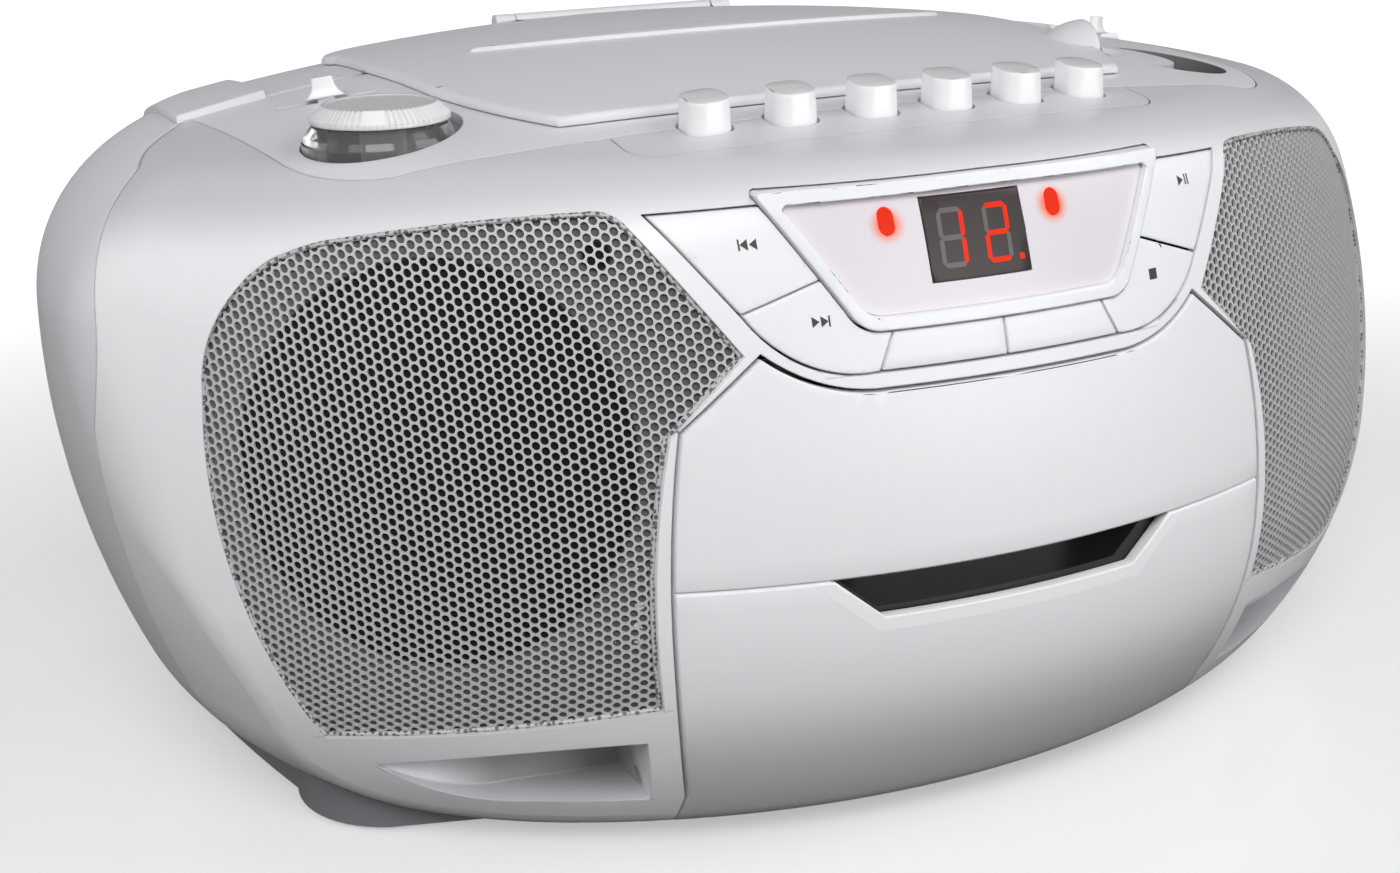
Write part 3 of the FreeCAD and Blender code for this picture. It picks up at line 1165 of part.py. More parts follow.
def control(name, x):
    """A potentiometer or tuning capacitor under a dial's cup, bored for the dial's shaft."""
    high = "%s - dial_drop - cup_floor" % dial_level(x)
    case = block(name + "_case", ("pot_size", "pot_size", "pot_tall"),
                 ("%s - pot_size / 2" % x, "dial_y - pot_size / 2", high + " - pot_tall"))
    bore = rod(name + "_bore", "dial_shaft + running", "pot_tall + 2",
               (x, "dial_y", high + " - pot_tall - 1"))
    return less(name, case, bore)


def dial_level(x):
    """Height of the deck over a dial, as a formula of aliases."""
    along = "(crown_len - crown_wid + sqrt(crown_wid ^ 2 - %s ^ 2))" % x
    return "crown_z - crown_len + sqrt(%s ^ 2 - (dial_y - crown_y) ^ 2)" % along


# ---------------------------------------------------------------- the assembly
PIECES = {
    "front_shell": make_front_shell, "rear_shell": make_rear_shell, "base_plinth": make_plinth,
    "top_panel": make_deck, "key_panel": make_key_panel, "display_frame": make_display_frame,
    "display_lens": make_lens, "digit_display": make_digits, "indicator_leds": make_leds,
    "front_board": make_front_board, "cassette_door": make_door, "cassette_chassis": make_chassis,
    "flywheel_bracket": make_bracket, "cassette_motor": make_motor, "drive_belt": make_belt,
    "head_bridge": make_bridge, "cd_lid": make_lid, "cd_well": make_well,
    "disc_drive_frame": make_drive_frame, "laser_pickup": make_pickup, "handle": make_handle,
    "battery_cover": make_battery_cover, "mains_inlet": make_inlet,
}
for name, make in PIECES.items():
    node(name, shaped(name, make()))
for name, shape in make_buttons().items():
    node(name, shaped(name, shape))
KEYS = ("key_record", "key_play", "key_rewind", "key_fast_forward", "key_stop_eject", "key_pause")
for number, name in enumerate(KEYS):
    node(name, shaped(name, make_key(number)))
for name, shape in zip(("antenna_tube", "antenna_rod"), make_aerial()):
    node(name, shaped(name, shape))
right_grille = make_grille()
node("grille_right", shaped("grille_right", right_grille))
node("grille_left", shaped("grille_left", flip(right_grille)))
pane = skin("front", window_outline(), S.door_wall + 0.05, S.door_wall + S.pane_thick, S.guide_wall)
node("door_window", shaped("door_window", pane))
node("function_slider", slider_knob("function_slider", "left"))
node("band_slider", slider_knob("band_slider", "right"))

# speakers: rim, cone and magnet turned about an axis that points outwards
SPEAKER = (("speaker_rim", "0"), ("speaker_rim", "rim_thick"),
           ("magnet_radius + 3", "speaker_deep - magnet_deep"),
           ("magnet_radius", "speaker_deep - magnet_deep"), ("magnet_radius", "speaker_deep"),
           ("0", "speaker_deep"), ("0", "speaker_deep - magnet_deep - 8"),
           ("9", "speaker_deep - magnet_deep - 6"), ("speaker_hole - 6", "rim_thick"),
           ("speaker_hole - 2", "0"))
for name, side in (("speaker_left", -1), ("speaker_right", 1)):
    face, aim = speaker_axis()
    seat = face + aim * S.speaker_seat
    speaker = turned(name, SPEAKER, (side * seat.x, seat.y, seat.z))
    rake = FreeCAD.Rotation(X, -S.speaker_rake).multiply(TURN["y"])
    speaker.Placement.Rotation = FreeCAD.Rotation(Z, side * S.speaker_toe).multiply(rake)
    node(name, speaker)

# feet, screws, boards and mains side
feet = [rod("foot_%d" % n, "foot_radius", "foot_height", (x, y, "0"))
        for n, (x, y) in enumerate((x, y) for x in ("-foot_x", "foot_x")
                                   for y in ("foot_front_y", "foot_rear_y"))]
node("rubber_feet", grouped("rubber_feet", *feet))
SCREW = (("0", "0"), ("screw_head", "0"), ("screw_head", "screw_head_tall"),
         ("screw_radius", "screw_head_tall"),
         ("screw_radius", "screw_long"), ("0", "screw_long"))
screws = [turned("screw_%d" % n, SCREW, (x, y, "screw_low_z"))
          for n, (x, y) in enumerate((x, y) for x in ("-post_x", "post_x")
                                     for y in ("post_back_y", "post_mid_y", "post_front_y"))]
node("case_screws", grouped("case_screws", *screws))
board = block("board", ("2 * main_board_half", "main_board_back - main_board_front", "board_thick"),
              ("-main_board_half", "main_board_front", "main_board_z"))
chips = [block("chip_%d" % n, (long, "12", "3"), (x, y, "main_board_z + board_thick"))
         for n, (long, x, y) in enumerate((("22", "-46", "18"), ("16", "-8", "34"), ("18", "24", "2")))]
cans = [rod("can_%d" % n, radius, high, (x, y, "main_board_z + board_thick"))
        for n, (radius, high, x, y) in enumerate((("5", "14", "52", "28"), ("4", "10", "40", "44"),
                                                  ("4", "10", "-30", "0")))]
node("main_board", fused("main_board", board, *chips, *cans))
core = block("core", ("transformer_size", "transformer_size", "transformer_size * 0.62"),
             ("transformer_x", "transformer_y", "shell_bottom + wall"))
coil = block("coil", ("transformer_size * 0.6", "transformer_size + 10", "transformer_size * 0.85"),
             ("transformer_x + transformer_size * 0.2", "transformer_y - 5", "shell_bottom + wall"))
node("transformer", fused("transformer", core, coil))
contacts = [block("contact_%s" % tag, ("contact_thick", "20", "48"),
                  (x, "battery_front + 3", "battery_low_z + 3"))
            for tag, x in (("left", "-battery_half"), ("right", "battery_half - contact_thick"))]
node("battery_contacts", grouped("battery_contacts", *contacts))
node("panel_controls", grouped("panel_controls", control("volume_control", "left_dial_x"),
                               control("tuning_control", "right_dial_x"), slide_switch("left"),
                               slide_switch("right")))

# dials on their shafts
base = "dial_drop + cup_floor + pot_tall - 2"
node("volume_dial", turned("volume_dial", (
    ("0", "0"), ("dial_shaft", "0"), ("dial_shaft", base + " + dial_lift"),
    ("dial_cap", base + " + dial_lift"),
    ("dial_cap", base + " + dial_lift + 1"), ("dial_cap_top", base + " + dial_lift + dial_cap_rise"),
    ("0", base + " + dial_lift + dial_cap_rise")),
    ("left_dial_x", "dial_y", "%s - (%s)" % (dial_level("left_dial_x"), base))))
rim = "dial_hole - hood_gap"
node("volume_hood", turned("volume_hood", (
    (rim + " - hood_wall", "0"), (rim, "0"), (rim, "5"), (rim + " - 0.8", "6.4"),
    ("dial_cap - 0.6", "5.8 + dial_lift"),
    ("drum_radius + 0.1", "5.8 + dial_lift"), ("drum_radius + 0.1", "4.4 + dial_lift"),
    (rim + " - hood_wall", "4.6")),
    ("left_dial_x", "dial_y", dial_level("left_dial_x") + " - 6")))
node("volume_drum", turned("volume_drum", (
    ("dial_shaft + 0.02", "0"), ("drum_radius", "0"), ("drum_radius", "dial_drop + dial_lift - 1"),
    ("dial_shaft + 0.02", "dial_drop + dial_lift - 1")),
    ("left_dial_x", "dial_y", dial_level("left_dial_x") + " - dial_drop + 0.8")))
node("tuning_wheel", turned("tuning_wheel", (
    ("0", "0"), ("dial_shaft", "0"), ("dial_shaft", base + " - dial_drop + 0.4"),
    ("dial_cap", base + " - dial_drop + 0.4"), ("dial_cap", base + " - wheel_drop - 3"),
    ("dial_cap - 1", base + " - wheel_drop - 2.4"), ("drum_radius - 6", base + " - wheel_drop - 2.4"),
    ("drum_radius - 6", base + " - wheel_drop - 5"), ("0", base + " - wheel_drop - 5")),
    ("right_dial_x", "dial_y", "%s - (%s)" % (dial_level("right_dial_x"), base))))

# turned pieces of the two drives
node("disc_hub", turned("disc_hub", (
    ("0", "0"), ("hub_shaft", "0"), ("hub_shaft", "8"), ("hub_radius", "8"), ("hub_radius", "10.5"),
    ("hub_boss", "10.5"), ("hub_boss", "13"), ("hub_boss - 1.5", "14.5"), ("0", "14.5")),
    ("0", "disc_y", "spindle_top_z - 4")))
for name, side in (("supply_reel", "-"), ("takeup_reel", "")):
    node(name, turned(name, (
        ("0", "0"), ("reel_spindle - 1", "0"), ("reel_spindle", "1.6"), ("reel_spindle", "reel_reach - 3.5"),
        ("reel_disc", "reel_reach - 3.5"), ("reel_disc", "reel_reach - 0.3"),
        ("reel_shaft", "reel_reach - 0.3"),
        ("reel_shaft", "reel_reach + 6"), ("0", "reel_reach + 6")),
        (side + "reel_half", "chassis_y - reel_reach", "reel_z"), "y"))
reach = "flywheel_front_y - chassis_y"
node("capstan_flywheel", turned("capstan_flywheel", (
    ("0", "0"), ("capstan_radius", "0"), ("capstan_radius", "11 + " + reach),
    ("flywheel_radius", "11 + " + reach),
    ("flywheel_radius", "belt_y - chassis_y + 10"), ("flywheel_radius - 1", "belt_y - chassis_y + 10"),
    ("flywheel_radius - 1", "belt_y - chassis_y + 12"), ("flywheel_radius", "belt_y - chassis_y + 12"),
    ("flywheel_radius", "11 + flywheel_thick + " + reach),
    ("capstan_radius", "11 + flywheel_thick + " + reach),
    ("capstan_radius", "carrier_y - chassis_y + 12"), ("0", "carrier_y - chassis_y + 12")),
    ("capstan_x", "chassis_y - 11", "capstan_z"), "y"))
node("motor_pulley", turned("motor_pulley", (
    ("0", "0"), ("pulley_radius", "0"), ("pulley_radius", "2"), ("pulley_radius - 1", "2"),
    ("pulley_radius - 1", "4"), ("pulley_radius", "4"), ("pulley_radius", "6"), ("motor_shaft", "6"),
    ("motor_shaft", "carrier_y - belt_y + 10"), ("0", "carrier_y - belt_y + 10")),
    ("motor_x", "belt_y - 3", "motor_z"), "y"))
node("pinch_roller", turned("pinch_roller", (
    ("roller_pin + running", "0"), ("roller_radius", "0"), ("roller_radius", "roller_wide"),
    ("roller_pin + running", "roller_wide")),
    ("capstan_x", "bridge_y - roller_wide - 0.5", "roller_z"), "y"))

# ---------------------------------------------------------------- checks and files
doc.recompute()
faults = [thing.Name for thing in doc.Objects if {"Invalid", "Error"} & set(thing.State)]
faults += [thing.Label for thing in NODES if thing.Shape.isNull() or not thing.Shape.isValid()]
if faults:
    raise RuntimeError("faulty pieces: " + ", ".join(faults))
os.makedirs("parts", exist_ok=True)
for thing in NODES:
    thing.Shape.exportStep("parts/%s.step" % thing.Label)
    print(thing.Label, len(thing.Shape.Solids), "solids", round(thing.Shape.Volume), "mm3")
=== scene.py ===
"""Looks for a portable cassette, disc and radio player, on the solids of its frame."""
import bpy
import bmesh
import json
import math
from mathutils import Matrix, Vector
from mathutils.bvhtree import BVHTree


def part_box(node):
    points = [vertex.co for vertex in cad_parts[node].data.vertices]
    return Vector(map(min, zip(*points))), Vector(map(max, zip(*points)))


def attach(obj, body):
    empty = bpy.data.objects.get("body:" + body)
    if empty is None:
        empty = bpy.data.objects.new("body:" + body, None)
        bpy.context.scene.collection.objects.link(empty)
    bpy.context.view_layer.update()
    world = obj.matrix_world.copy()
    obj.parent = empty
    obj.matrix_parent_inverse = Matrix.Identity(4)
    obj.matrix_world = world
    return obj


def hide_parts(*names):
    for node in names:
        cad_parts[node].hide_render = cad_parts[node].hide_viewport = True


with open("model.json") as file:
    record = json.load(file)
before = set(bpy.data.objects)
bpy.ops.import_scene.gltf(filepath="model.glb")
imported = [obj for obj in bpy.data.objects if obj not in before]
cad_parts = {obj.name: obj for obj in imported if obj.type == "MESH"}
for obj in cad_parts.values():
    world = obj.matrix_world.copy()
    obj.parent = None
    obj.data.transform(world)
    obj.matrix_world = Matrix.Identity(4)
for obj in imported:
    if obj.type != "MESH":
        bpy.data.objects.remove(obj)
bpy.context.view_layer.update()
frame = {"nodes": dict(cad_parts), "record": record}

bl_info = {
    "name": "Portable Player",
    "version": (1, 0, 0),
    "blender": (4, 5, 0),
    "location": "View3D > Sidebar > Player",
    "description": "Dresses the solids of a portable cassette player",
    "category": "Object",
}

MM = 0.001
# places on the solids: the openings behind the grilles, the tuning wheel's round hole and the disc that
# covers most of it, the scoops under the grilles, and the corners of the door's slot
SPEAKER_X, SPEAKER_Z, SPEAKER_OPEN = 113.1 * MM, 91.5 * MM, 41.5 * MM
MICROPHONE_X, MICROPHONE_Z, MICROPHONE_OPEN = -78.3 * MM, 131.4 * MM, 3.1 * MM
WHEEL, WHEEL_HOLE = (103 * MM, -23 * MM), 15.5 * MM
BITE, BITE_RADIUS = (92 * MM, -20 * MM), 13 * MM
SCOOP_X, SCOOP_Z = (76 * MM, 122 * MM), (14.6 * MM, 31.6 * MM)
SLOT_TOP, SLOT_FOOT = (41.1 * MM, 65.9 * MM), (30.3 * MM, 56.8 * MM)
NODES = frame["nodes"]
BODIES = frame["record"]["behaviour"]["bodies"]
BODY_OF = {node: body for body, nodes in BODIES.items() for node in nodes}
SLOT_OF = {part["node"]: part["material_slot"] for part in frame["record"]["subparts"]}


# ---------------------------------------------------------------- sizes and colours
def length(name, description, default, low=0.0):
    return bpy.props.FloatProperty(name=name, description=description, default=default, min=low,
                                   unit="LENGTH", subtype="DISTANCE")


def tint(name, description, red, green, blue):
    """A colour written as the eye sees it, from 0 to 255."""
    return bpy.props.FloatVectorProperty(name=name, description=description, size=3, subtype="COLOR",
                                         default=seen(red, green, blue), min=0, max=1)


def linear(value):
    """A shade from 0 to 255, as the eye sees it, turned into an amount of light."""
    part = value / 255
    return part / 12.92 if part <= 0.04045 else ((part + 0.055) / 1.055) ** 2.4


def seen(red, green, blue):
    """A colour written as the eye sees it, from 0 to 255."""
    return [linear(value) for value in (red, green, blue)]


def grey(value):
    return seen(value, value, value)


class PlayerSizes(bpy.types.PropertyGroup):
    hole_pitch: length("Hole pitch", "Distance between the grille's holes", 2.08 * MM, 1e-4)
    hole_size: length("Hole size", "Diameter of a grille hole", 1.7 * MM, 1e-4)
    sheet: length("Grille sheet", "Thickness of the grille's sheet", 0.6 * MM, 1e-4)
    front_radius: length("Front radius", "Radius of the bowed front, seen from above", 210 * MM, 1e-2)
    edge: length("Edge", "Radius of a moulded edge", 0.45 * MM, 1e-5)
    knurl_deep: length("Knurl depth", "Depth of the grooves round the dial", 0.35 * MM, 1e-5)
    knurls: bpy.props.IntProperty(name="Knurls", description="Grooves round the dial, with the blank part",
                                  default=72, min=12)
    ink: length("Ink", "Height of a printed mark", 0.05 * MM, 1e-6)


class PlayerColours(bpy.types.PropertyGroup):
    case: tint("Case", "Silver-grey plastic of the case", 226, 227, 231)
    front: tint("Front", "Plastic of the front, a shade lighter", 243, 244, 247)
    white: tint("White", "White plastic of keys and dials", 246, 246, 248)
    lens: tint("Lens", "Milky plastic of the display", 228, 222, 229)
    window: tint("Window", "Dark window of the number", 62, 52, 52)
    lit: tint("Lit", "Red light", 246, 50, 18)
    grille: tint("Grille", "Silver paint of the grilles", 198, 198, 199)
    dark: tint("Dark", "Grey plastic of the base", 128, 129, 133)


def sizes():
    return bpy.context.scene.player_sizes


def colours():
    return bpy.context.scene.player_colours


# ---------------------------------------------------------------- materials
MATERIALS = {}
READS_UP = set()
DRIFT_SCALE, DRIFT_DETAIL = 14, 3
GRAIN_DETAIL, GRAIN_STRENGTH = 2, 0.6
CASE_ROUGH, FRONT_ROUGH, WHITE_ROUGH, GRILLE_ROUGH = 0.42, 0.38, 0.3, 0.38


def finish(name, colour, rough=0.45, spec=0.5, grain=0.02, grain_size=0.6, drift=0.03, edge=0.0, **extra):
    """Moulded or painted surface: a soft drift of colour, a fine grain and a rounded look at its edges."""
    if name in MATERIALS:
        return MATERIALS[name]
    material = bpy.data.materials.new(name)
    material.use_nodes = True
    tree = material.node_tree
    shader = tree.nodes["Principled BSDF"]
    place = object_place(tree)
    shader.inputs["Roughness"].default_value = rough
    shader.inputs["Specular IOR Level"].default_value = spec
    for socket, value in extra.items():
        shader.inputs[socket.replace("_", " ")].default_value = value
    ramp = tree.nodes.new("ShaderNodeMix")
    ramp.data_type = "RGBA"
    ramp.inputs["A"].default_value = (*[part * (1 - drift) for part in colour], 1)
    ramp.inputs["B"].default_value = (*[min(1, part * (1 + drift)) for part in colour], 1)
    tree.links.new(noise(tree, place, DRIFT_SCALE, DRIFT_DETAIL), ramp.inputs["Factor"])
    tree.links.new(ramp.outputs["Result"], shader.inputs["Base Color"])
    bump = tree.nodes.new("ShaderNodeBump")
    bump.inputs["Strength"].default_value = GRAIN_STRENGTH
    bump.inputs["Distance"].default_value = grain * MM
    tree.links.new(noise(tree, place, 1 / (grain_size * MM), GRAIN_DETAIL), bump.inputs["Height"])
    if edge:
        soft = tree.nodes.new("ShaderNodeBevel")
        soft.samples = 4
        soft.inputs["Radius"].default_value = edge
        tree.links.new(soft.outputs["Normal"], bump.inputs["Normal"])
    tree.links.new(bump.outputs["Normal"], shader.inputs["Normal"])
    MATERIALS[name] = material
    return material


def object_place(tree):
    return tree.nodes.new("ShaderNodeTexCoord").outputs["Object"]


def noise(tree, place, scale, detail):
    texture = tree.nodes.new("ShaderNodeTexNoise")
    texture.inputs["Scale"].default_value = scale
    texture.inputs["Detail"].default_value = detail
    tree.links.new(place, texture.inputs["Vector"])
    return texture.outputs["Fac"]


def ranged(tree, value, start, end, low=0.0, high=1.0, curve="LINEAR"):
    """A factor that goes from low to high while the value goes from start to end."""
    reach = tree.nodes.new("ShaderNodeMapRange")
    reach.interpolation_type = curve
    for socket, amount in (("From Min", start), ("From Max", end), ("To Min", low), ("To Max", high)):
        reach.inputs[socket].default_value = amount
    tree.links.new(value, reach.inputs["Value"])
    return reach.outputs["Result"]


def combined(tree, operation, first, second):
    """A sum on two values of a shader."""
    node = tree.nodes.new("ShaderNodeMath")
    node.operation = operation
    tree.links.new(first, node.inputs[0])
    tree.links.new(second, node.inputs[1])
    return node.outputs["Value"]


def absolute(tree, value):
    node = tree.nodes.new("ShaderNodeMath")
    node.operation = "ABSOLUTE"
    tree.links.new(value, node.inputs[0])
    return node.outputs["Value"]


def distance_from(tree, place, spot):
    gap = tree.nodes.new("ShaderNodeVectorMath")
    gap.operation = "DISTANCE"
    gap.inputs[1].default_value = spot
    tree.links.new(place, gap.inputs[0])
    return gap.outputs["Value"]


def from_axis(tree, x, y):
    """The distance from an upright axis."""
    flat = tree.nodes.new("ShaderNodeVectorMath")
    flat.operation = "MULTIPLY"
    flat.inputs[1].default_value = (1, 1, 0)
    tree.links.new(object_place(tree), flat.inputs[0])
    return distance_from(tree, flat.outputs["Vector"], (x, y, 0))


def facing_up(material, start, end):
    """A factor that changes as a new piece's surface turns up, read from its own attribute."""
    READS_UP.add(material.name)
    up = material.node_tree.nodes.new("ShaderNodeAttribute")
    up.attribute_name = "up"
    return ranged(material.node_tree, up.outputs["Fac"], start, end, curve="SMOOTHSTEP")


def note_up(thing, material):
    """Store how far each corner of a mesh faces up, where its material asks for it."""
    if material.name in READS_UP:
        layer = thing.data.attributes.new("up", "FLOAT", "CORNER")
        layer.data.foreach_set("value", [corner.vector.z for corner in thing.data.corner_normals])


def blend(material, factor, colour):
    """Mix a colour over the material's own colour by a factor."""
    tree = material.node_tree
    shader = tree.nodes["Principled BSDF"]
    mix = tree.nodes.new("ShaderNodeMix")
    mix.data_type = "RGBA"
    mix.inputs["B"].default_value = (*colour, 1)
    tree.links.new(factor, mix.inputs["Factor"])
    tree.links.new(shader.inputs["Base Color"].links[0].from_socket, mix.inputs["A"])
    tree.links.new(mix.outputs["Result"], shader.inputs["Base Color"])


def glow(name, colour, strength):
    material = finish(name, [part * 0.05 for part in colour], 0.3, spec=0.1, grain=0.002)
    shader = material.node_tree.nodes["Principled BSDF"]
    shader.inputs["Emission Color"].default_value = (*colour, 1)
    shader.inputs["Emission Strength"].default_value = strength
    return material


def lens_finish():
    """Milky plastic with the warm glow that the two lights throw round themselves."""
    halo_start, halo_full, warm = 4.9 * MM, 1.9 * MM, seen(255, 118, 66)
    material = finish("milky_lens", colours().lens, 0.3, grain=0.004, drift=0.015)
    tree = material.node_tree
    place = object_place(tree)
    low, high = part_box("indicator_leds")
    from_side = (high.z - low.z) * 0.3
    halos = []
    for x in (low.x + from_side, high.x - from_side):
        away = distance_from(tree, place, (x, low.y, (low.z + high.z) / 2))
        halos.append(ranged(tree, away, halo_start, halo_full, curve="SMOOTHSTEP"))
    blend(material, combined(tree, "MAXIMUM", *halos), warm)
    return material


def drum_finish():
    """Dark smoked plastic, paler in an upright band on the side that faces the front left."""
    turned, half_wide, fade = math.radians(-14), 4.5 * MM, 0.3 * MM
    material = finish("smoked_drum", seen(58, 58, 60), 0.25, grain=0.003)
    tree = material.node_tree
    low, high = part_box("volume_drum")
    mapping = tree.nodes.new("ShaderNodeMapping")
    mapping.inputs["Location"].default_value = -(low + high) / 2
    tree.links.new(object_place(tree), mapping.inputs["Vector"])
    across = tree.nodes.new("ShaderNodeVectorMath")
    across.operation = "DOT_PRODUCT"
    across.inputs[1].default_value = (math.cos(turned), math.sin(turned), 0)
    tree.links.new(mapping.outputs["Vector"], across.inputs[0])
    away = absolute(tree, across.outputs["Value"])
    # paler in an upright band on the side that faces the front left
    blend(material, ranged(tree, away, half_wide + fade, half_wide), grey(118))
    return material


def bead_finish():
    """The grille's turned edge, with its holes squeezed into a fine chain."""
    spacing = 1.15 * MM
    material = finish("grille_edge", colours().grille, 0.4, grain=0.01)
    tree = material.node_tree
    cells = tree.nodes.new("ShaderNodeTexVoronoi")
    cells.inputs["Scale"].default_value = 1 / spacing
    cells.inputs["Randomness"].default_value = 0.35
    tree.links.new(object_place(tree), cells.inputs["Vector"])
    blend(material, ranged(tree, cells.outputs["Distance"], 0.46, 0.38), grey(105))
    return material


def shade_and_speaker_sheet_finish(node):
    """A sheet behind a grille: grey as painted shade of the hollow behind the grille, and black where a
    speaker or the microphone is open behind it.
    """
    fade = 0.4 * MM
    # painted shade: the sheet's grey stands in for the shade seen through the grille's holes
    material = finish(node + "_cloth", grey(98), 0.9, grain=0.05)
    tree = material.node_tree
    place = object_place(tree)
    side = -1 if node.endswith("left") else 1
    spots = [(side * SPEAKER_X, SPEAKER_Z, SPEAKER_OPEN)]
    if side < 0:
        spots.append((MICROPHONE_X, MICROPHONE_Z, MICROPHONE_OPEN))
    for x, z, radius in spots:
        away = distance_from(tree, place, front_of(node, x, z)[0])
        blend(material, ranged(tree, away, radius + fade, radius - fade), grey(10))
    return material


def case_finish():
    return finish("silver_case", colours().case, CASE_ROUGH, edge=sizes().edge)


def front_finish():
    return finish("silver_front", colours().front, FRONT_ROUGH, edge=sizes().edge)


def strip_finish():
    """The plastic of the strip round the tape keys, a shade greyer than the case."""
    return finish("silver_strip", seen(213, 214, 218), CASE_ROUGH, edge=sizes().edge)


def lip_painted_highlight_finish():
    # painted highlight: a pale band stands in for the lit chamfer round the door's slot
    return finish("lip_painted_highlight", seen(251, 252, 255), 0.35)


def front_painted_shade_finish():
    """The front's plastic, with painted shade: darker deep in the scoops, and as grey as the case where it
    looks up.
    """
    material = finish("silver_front_painted_shade", colours().front, FRONT_ROUGH, edge=sizes().edge)
    # painted shade deep in the scoops
    blend(material, scoop_painted_shade(material.node_tree), grey(176))
    # painted shade on the faces that look up
    blend(material, upward_painted_shade(material.node_tree), seen(212, 213, 217))
    return material


def parts_of_place(tree):
    """The distance to either side of the middle, the depth and the height."""
    split = tree.nodes.new("ShaderNodeSeparateXYZ")
    tree.links.new(object_place(tree), split.inputs[0])
    return absolute(tree, split.outputs["X"]), split.outputs["Y"], split.outputs["Z"]


def sloped(tree, first, factor, second):
    """The first value times a number, plus the second value."""
    node = tree.nodes.new("ShaderNodeMath")
    node.operation = "MULTIPLY_ADD"
    node.inputs[1].default_value = factor
    tree.links.new(first, node.inputs[0])
    tree.links.new(second, node.inputs[2])
    return node.outputs["Value"]


def within(tree, limits):
    """A factor that is full where every value is past its limit; a row is a value, a start and an end."""
    total = None
    for value, start, end, *curve in limits:
        part = ranged(tree, value, start, end, 0.0, 1.0, *curve)
        total = part if total is None else combined(tree, "MULTIPLY", total, part)
    return total


def scoop_painted_shade(tree):
    """A factor for painted shade, which grows with the depth in the two scoops under the grilles."""
    shallow, deep, fade = 0.5 * MM, 6 * MM, 0.4 * MM
    across, depth, height = parts_of_place(tree)
    (near, far), (low, high) = SCOOP_X, SCOOP_Z
    near_face, far_face = (front_of("front_shell", x, low - 1.5 * MM)[0].y for x in (near, far))
    slope = (far_face - near_face) / (far - near)
    face = near_face - slope * near
    limits = [(sloped(tree, across, -slope, depth), face + shallow, face + deep)]
    for value, edge, reach in ((across, near - 3 * MM, fade), (across, far + 4 * MM, -fade),
                               (height, low - 1 * MM, fade), (height, high + 1 * MM, -fade)):
        limits.append((value, edge, edge + reach))
    return within(tree, limits)


def upward_painted_shade(tree):
    """A factor for painted shade on the front's faces that look up: its brow, the scoops' floors and the
    narrow sills.
    """
    across, _, height = parts_of_place(tree)
    square = combined(tree, "MULTIPLY", across, across)
    brow = [(sloped(tree, square, 0.345 / (1000 * MM), height), 136.1 * MM, 145.9 * MM, "SMOOTHSTEP")]
    total = within(tree, brow)
    past = ranged(tree, across, 100 * MM, 130 * MM, high=0.1074)
    over_floor = combined(tree, "SUBTRACT", height, combined(tree, "MULTIPLY", past, past))
    grille_sill = sloped(tree, across, 0.154, height)
    display_end = sloped(tree, across, -0.5, height)
    for value, low, high, start, end in (
            (over_floor, 14.4, 14.7, 73, 126), (grille_sill, 51, 51.16, 72, 137),
            (height, 106.44, 106.6, -1, 40), (display_end, 87.3, 87.6, 40, 47)):
        sill = [(value, (low - 0.06) * MM, low * MM), (value, (high + 0.15) * MM, high * MM),
                (across, start * MM, (start + 0.5) * MM), (across, end * MM, (end - 0.5) * MM)]
        total = combined(tree, "MAXIMUM", total, within(tree, sill))
    return total


def door_painted_shade_finish():
    """The door's plastic, with painted shade where it curves under."""
    material = finish("silver_door_painted_shade", colours().front, FRONT_ROUGH, edge=sizes().edge)
    # painted shade: greyer as the door's surface turns down
    blend(material, facing_up(material, -0.14, -0.42), seen(214, 215, 218))
    return material


def deck_painted_shade_finish():
    """The deck's plastic, with painted shade on the wall of the tuning wheel's crescent."""
    skin, fade = 0.04 * MM, 0.08 * MM
    material = finish("silver_deck_painted_shade", colours().case, CASE_ROUGH, edge=sizes().edge)
    tree = material.node_tree
    inside = ranged(tree, from_axis(tree, *WHEEL), WHEEL_HOLE + skin + fade, WHEEL_HOLE + skin)
    unbitten = ranged(tree, from_axis(tree, *BITE), BITE_RADIUS - 0.05 * MM, BITE_RADIUS + 0.05 * MM)
    # painted shade on the crescent's wall
    blend(material, combined(tree, "MULTIPLY", inside, unbitten), grey(112))
    return material


def wheel_painted_shade_finish():
    """The tuning wheel: painted shade marks a groove between two paler rings."""
    groove, outer_ring, fade = 8.6 * MM, 12.2 * MM, 0.2 * MM
    material = finish("ringed_wheel_painted_shade", grey(128), 0.35, grain=0.004)
    tree = material.node_tree
    away = from_axis(tree, *WHEEL)
    # painted shade in the groove
    blend(material, ranged(tree, away, groove, groove + fade), grey(84))
    blend(material, ranged(tree, away, outer_ring, outer_ring + fade), grey(150))
    return material


def white_painted_shade_finish():
    """White plastic with painted shade where it faces up."""
    if "white_control" in MATERIALS:
        return MATERIALS["white_control"]
    material = finish("white_control", colours().white, WHITE_ROUGH, grain=0.008, drift=0.012,
                      edge=2 * sizes().edge)
    # painted shade on the faces that look up
    blend(material, facing_up(material, 0.7, 0.95), seen(220, 221, 224))
    return material


def ink_finish():
    return finish("dark_ink", seen(70, 58, 62), 0.55, grain=0.004)


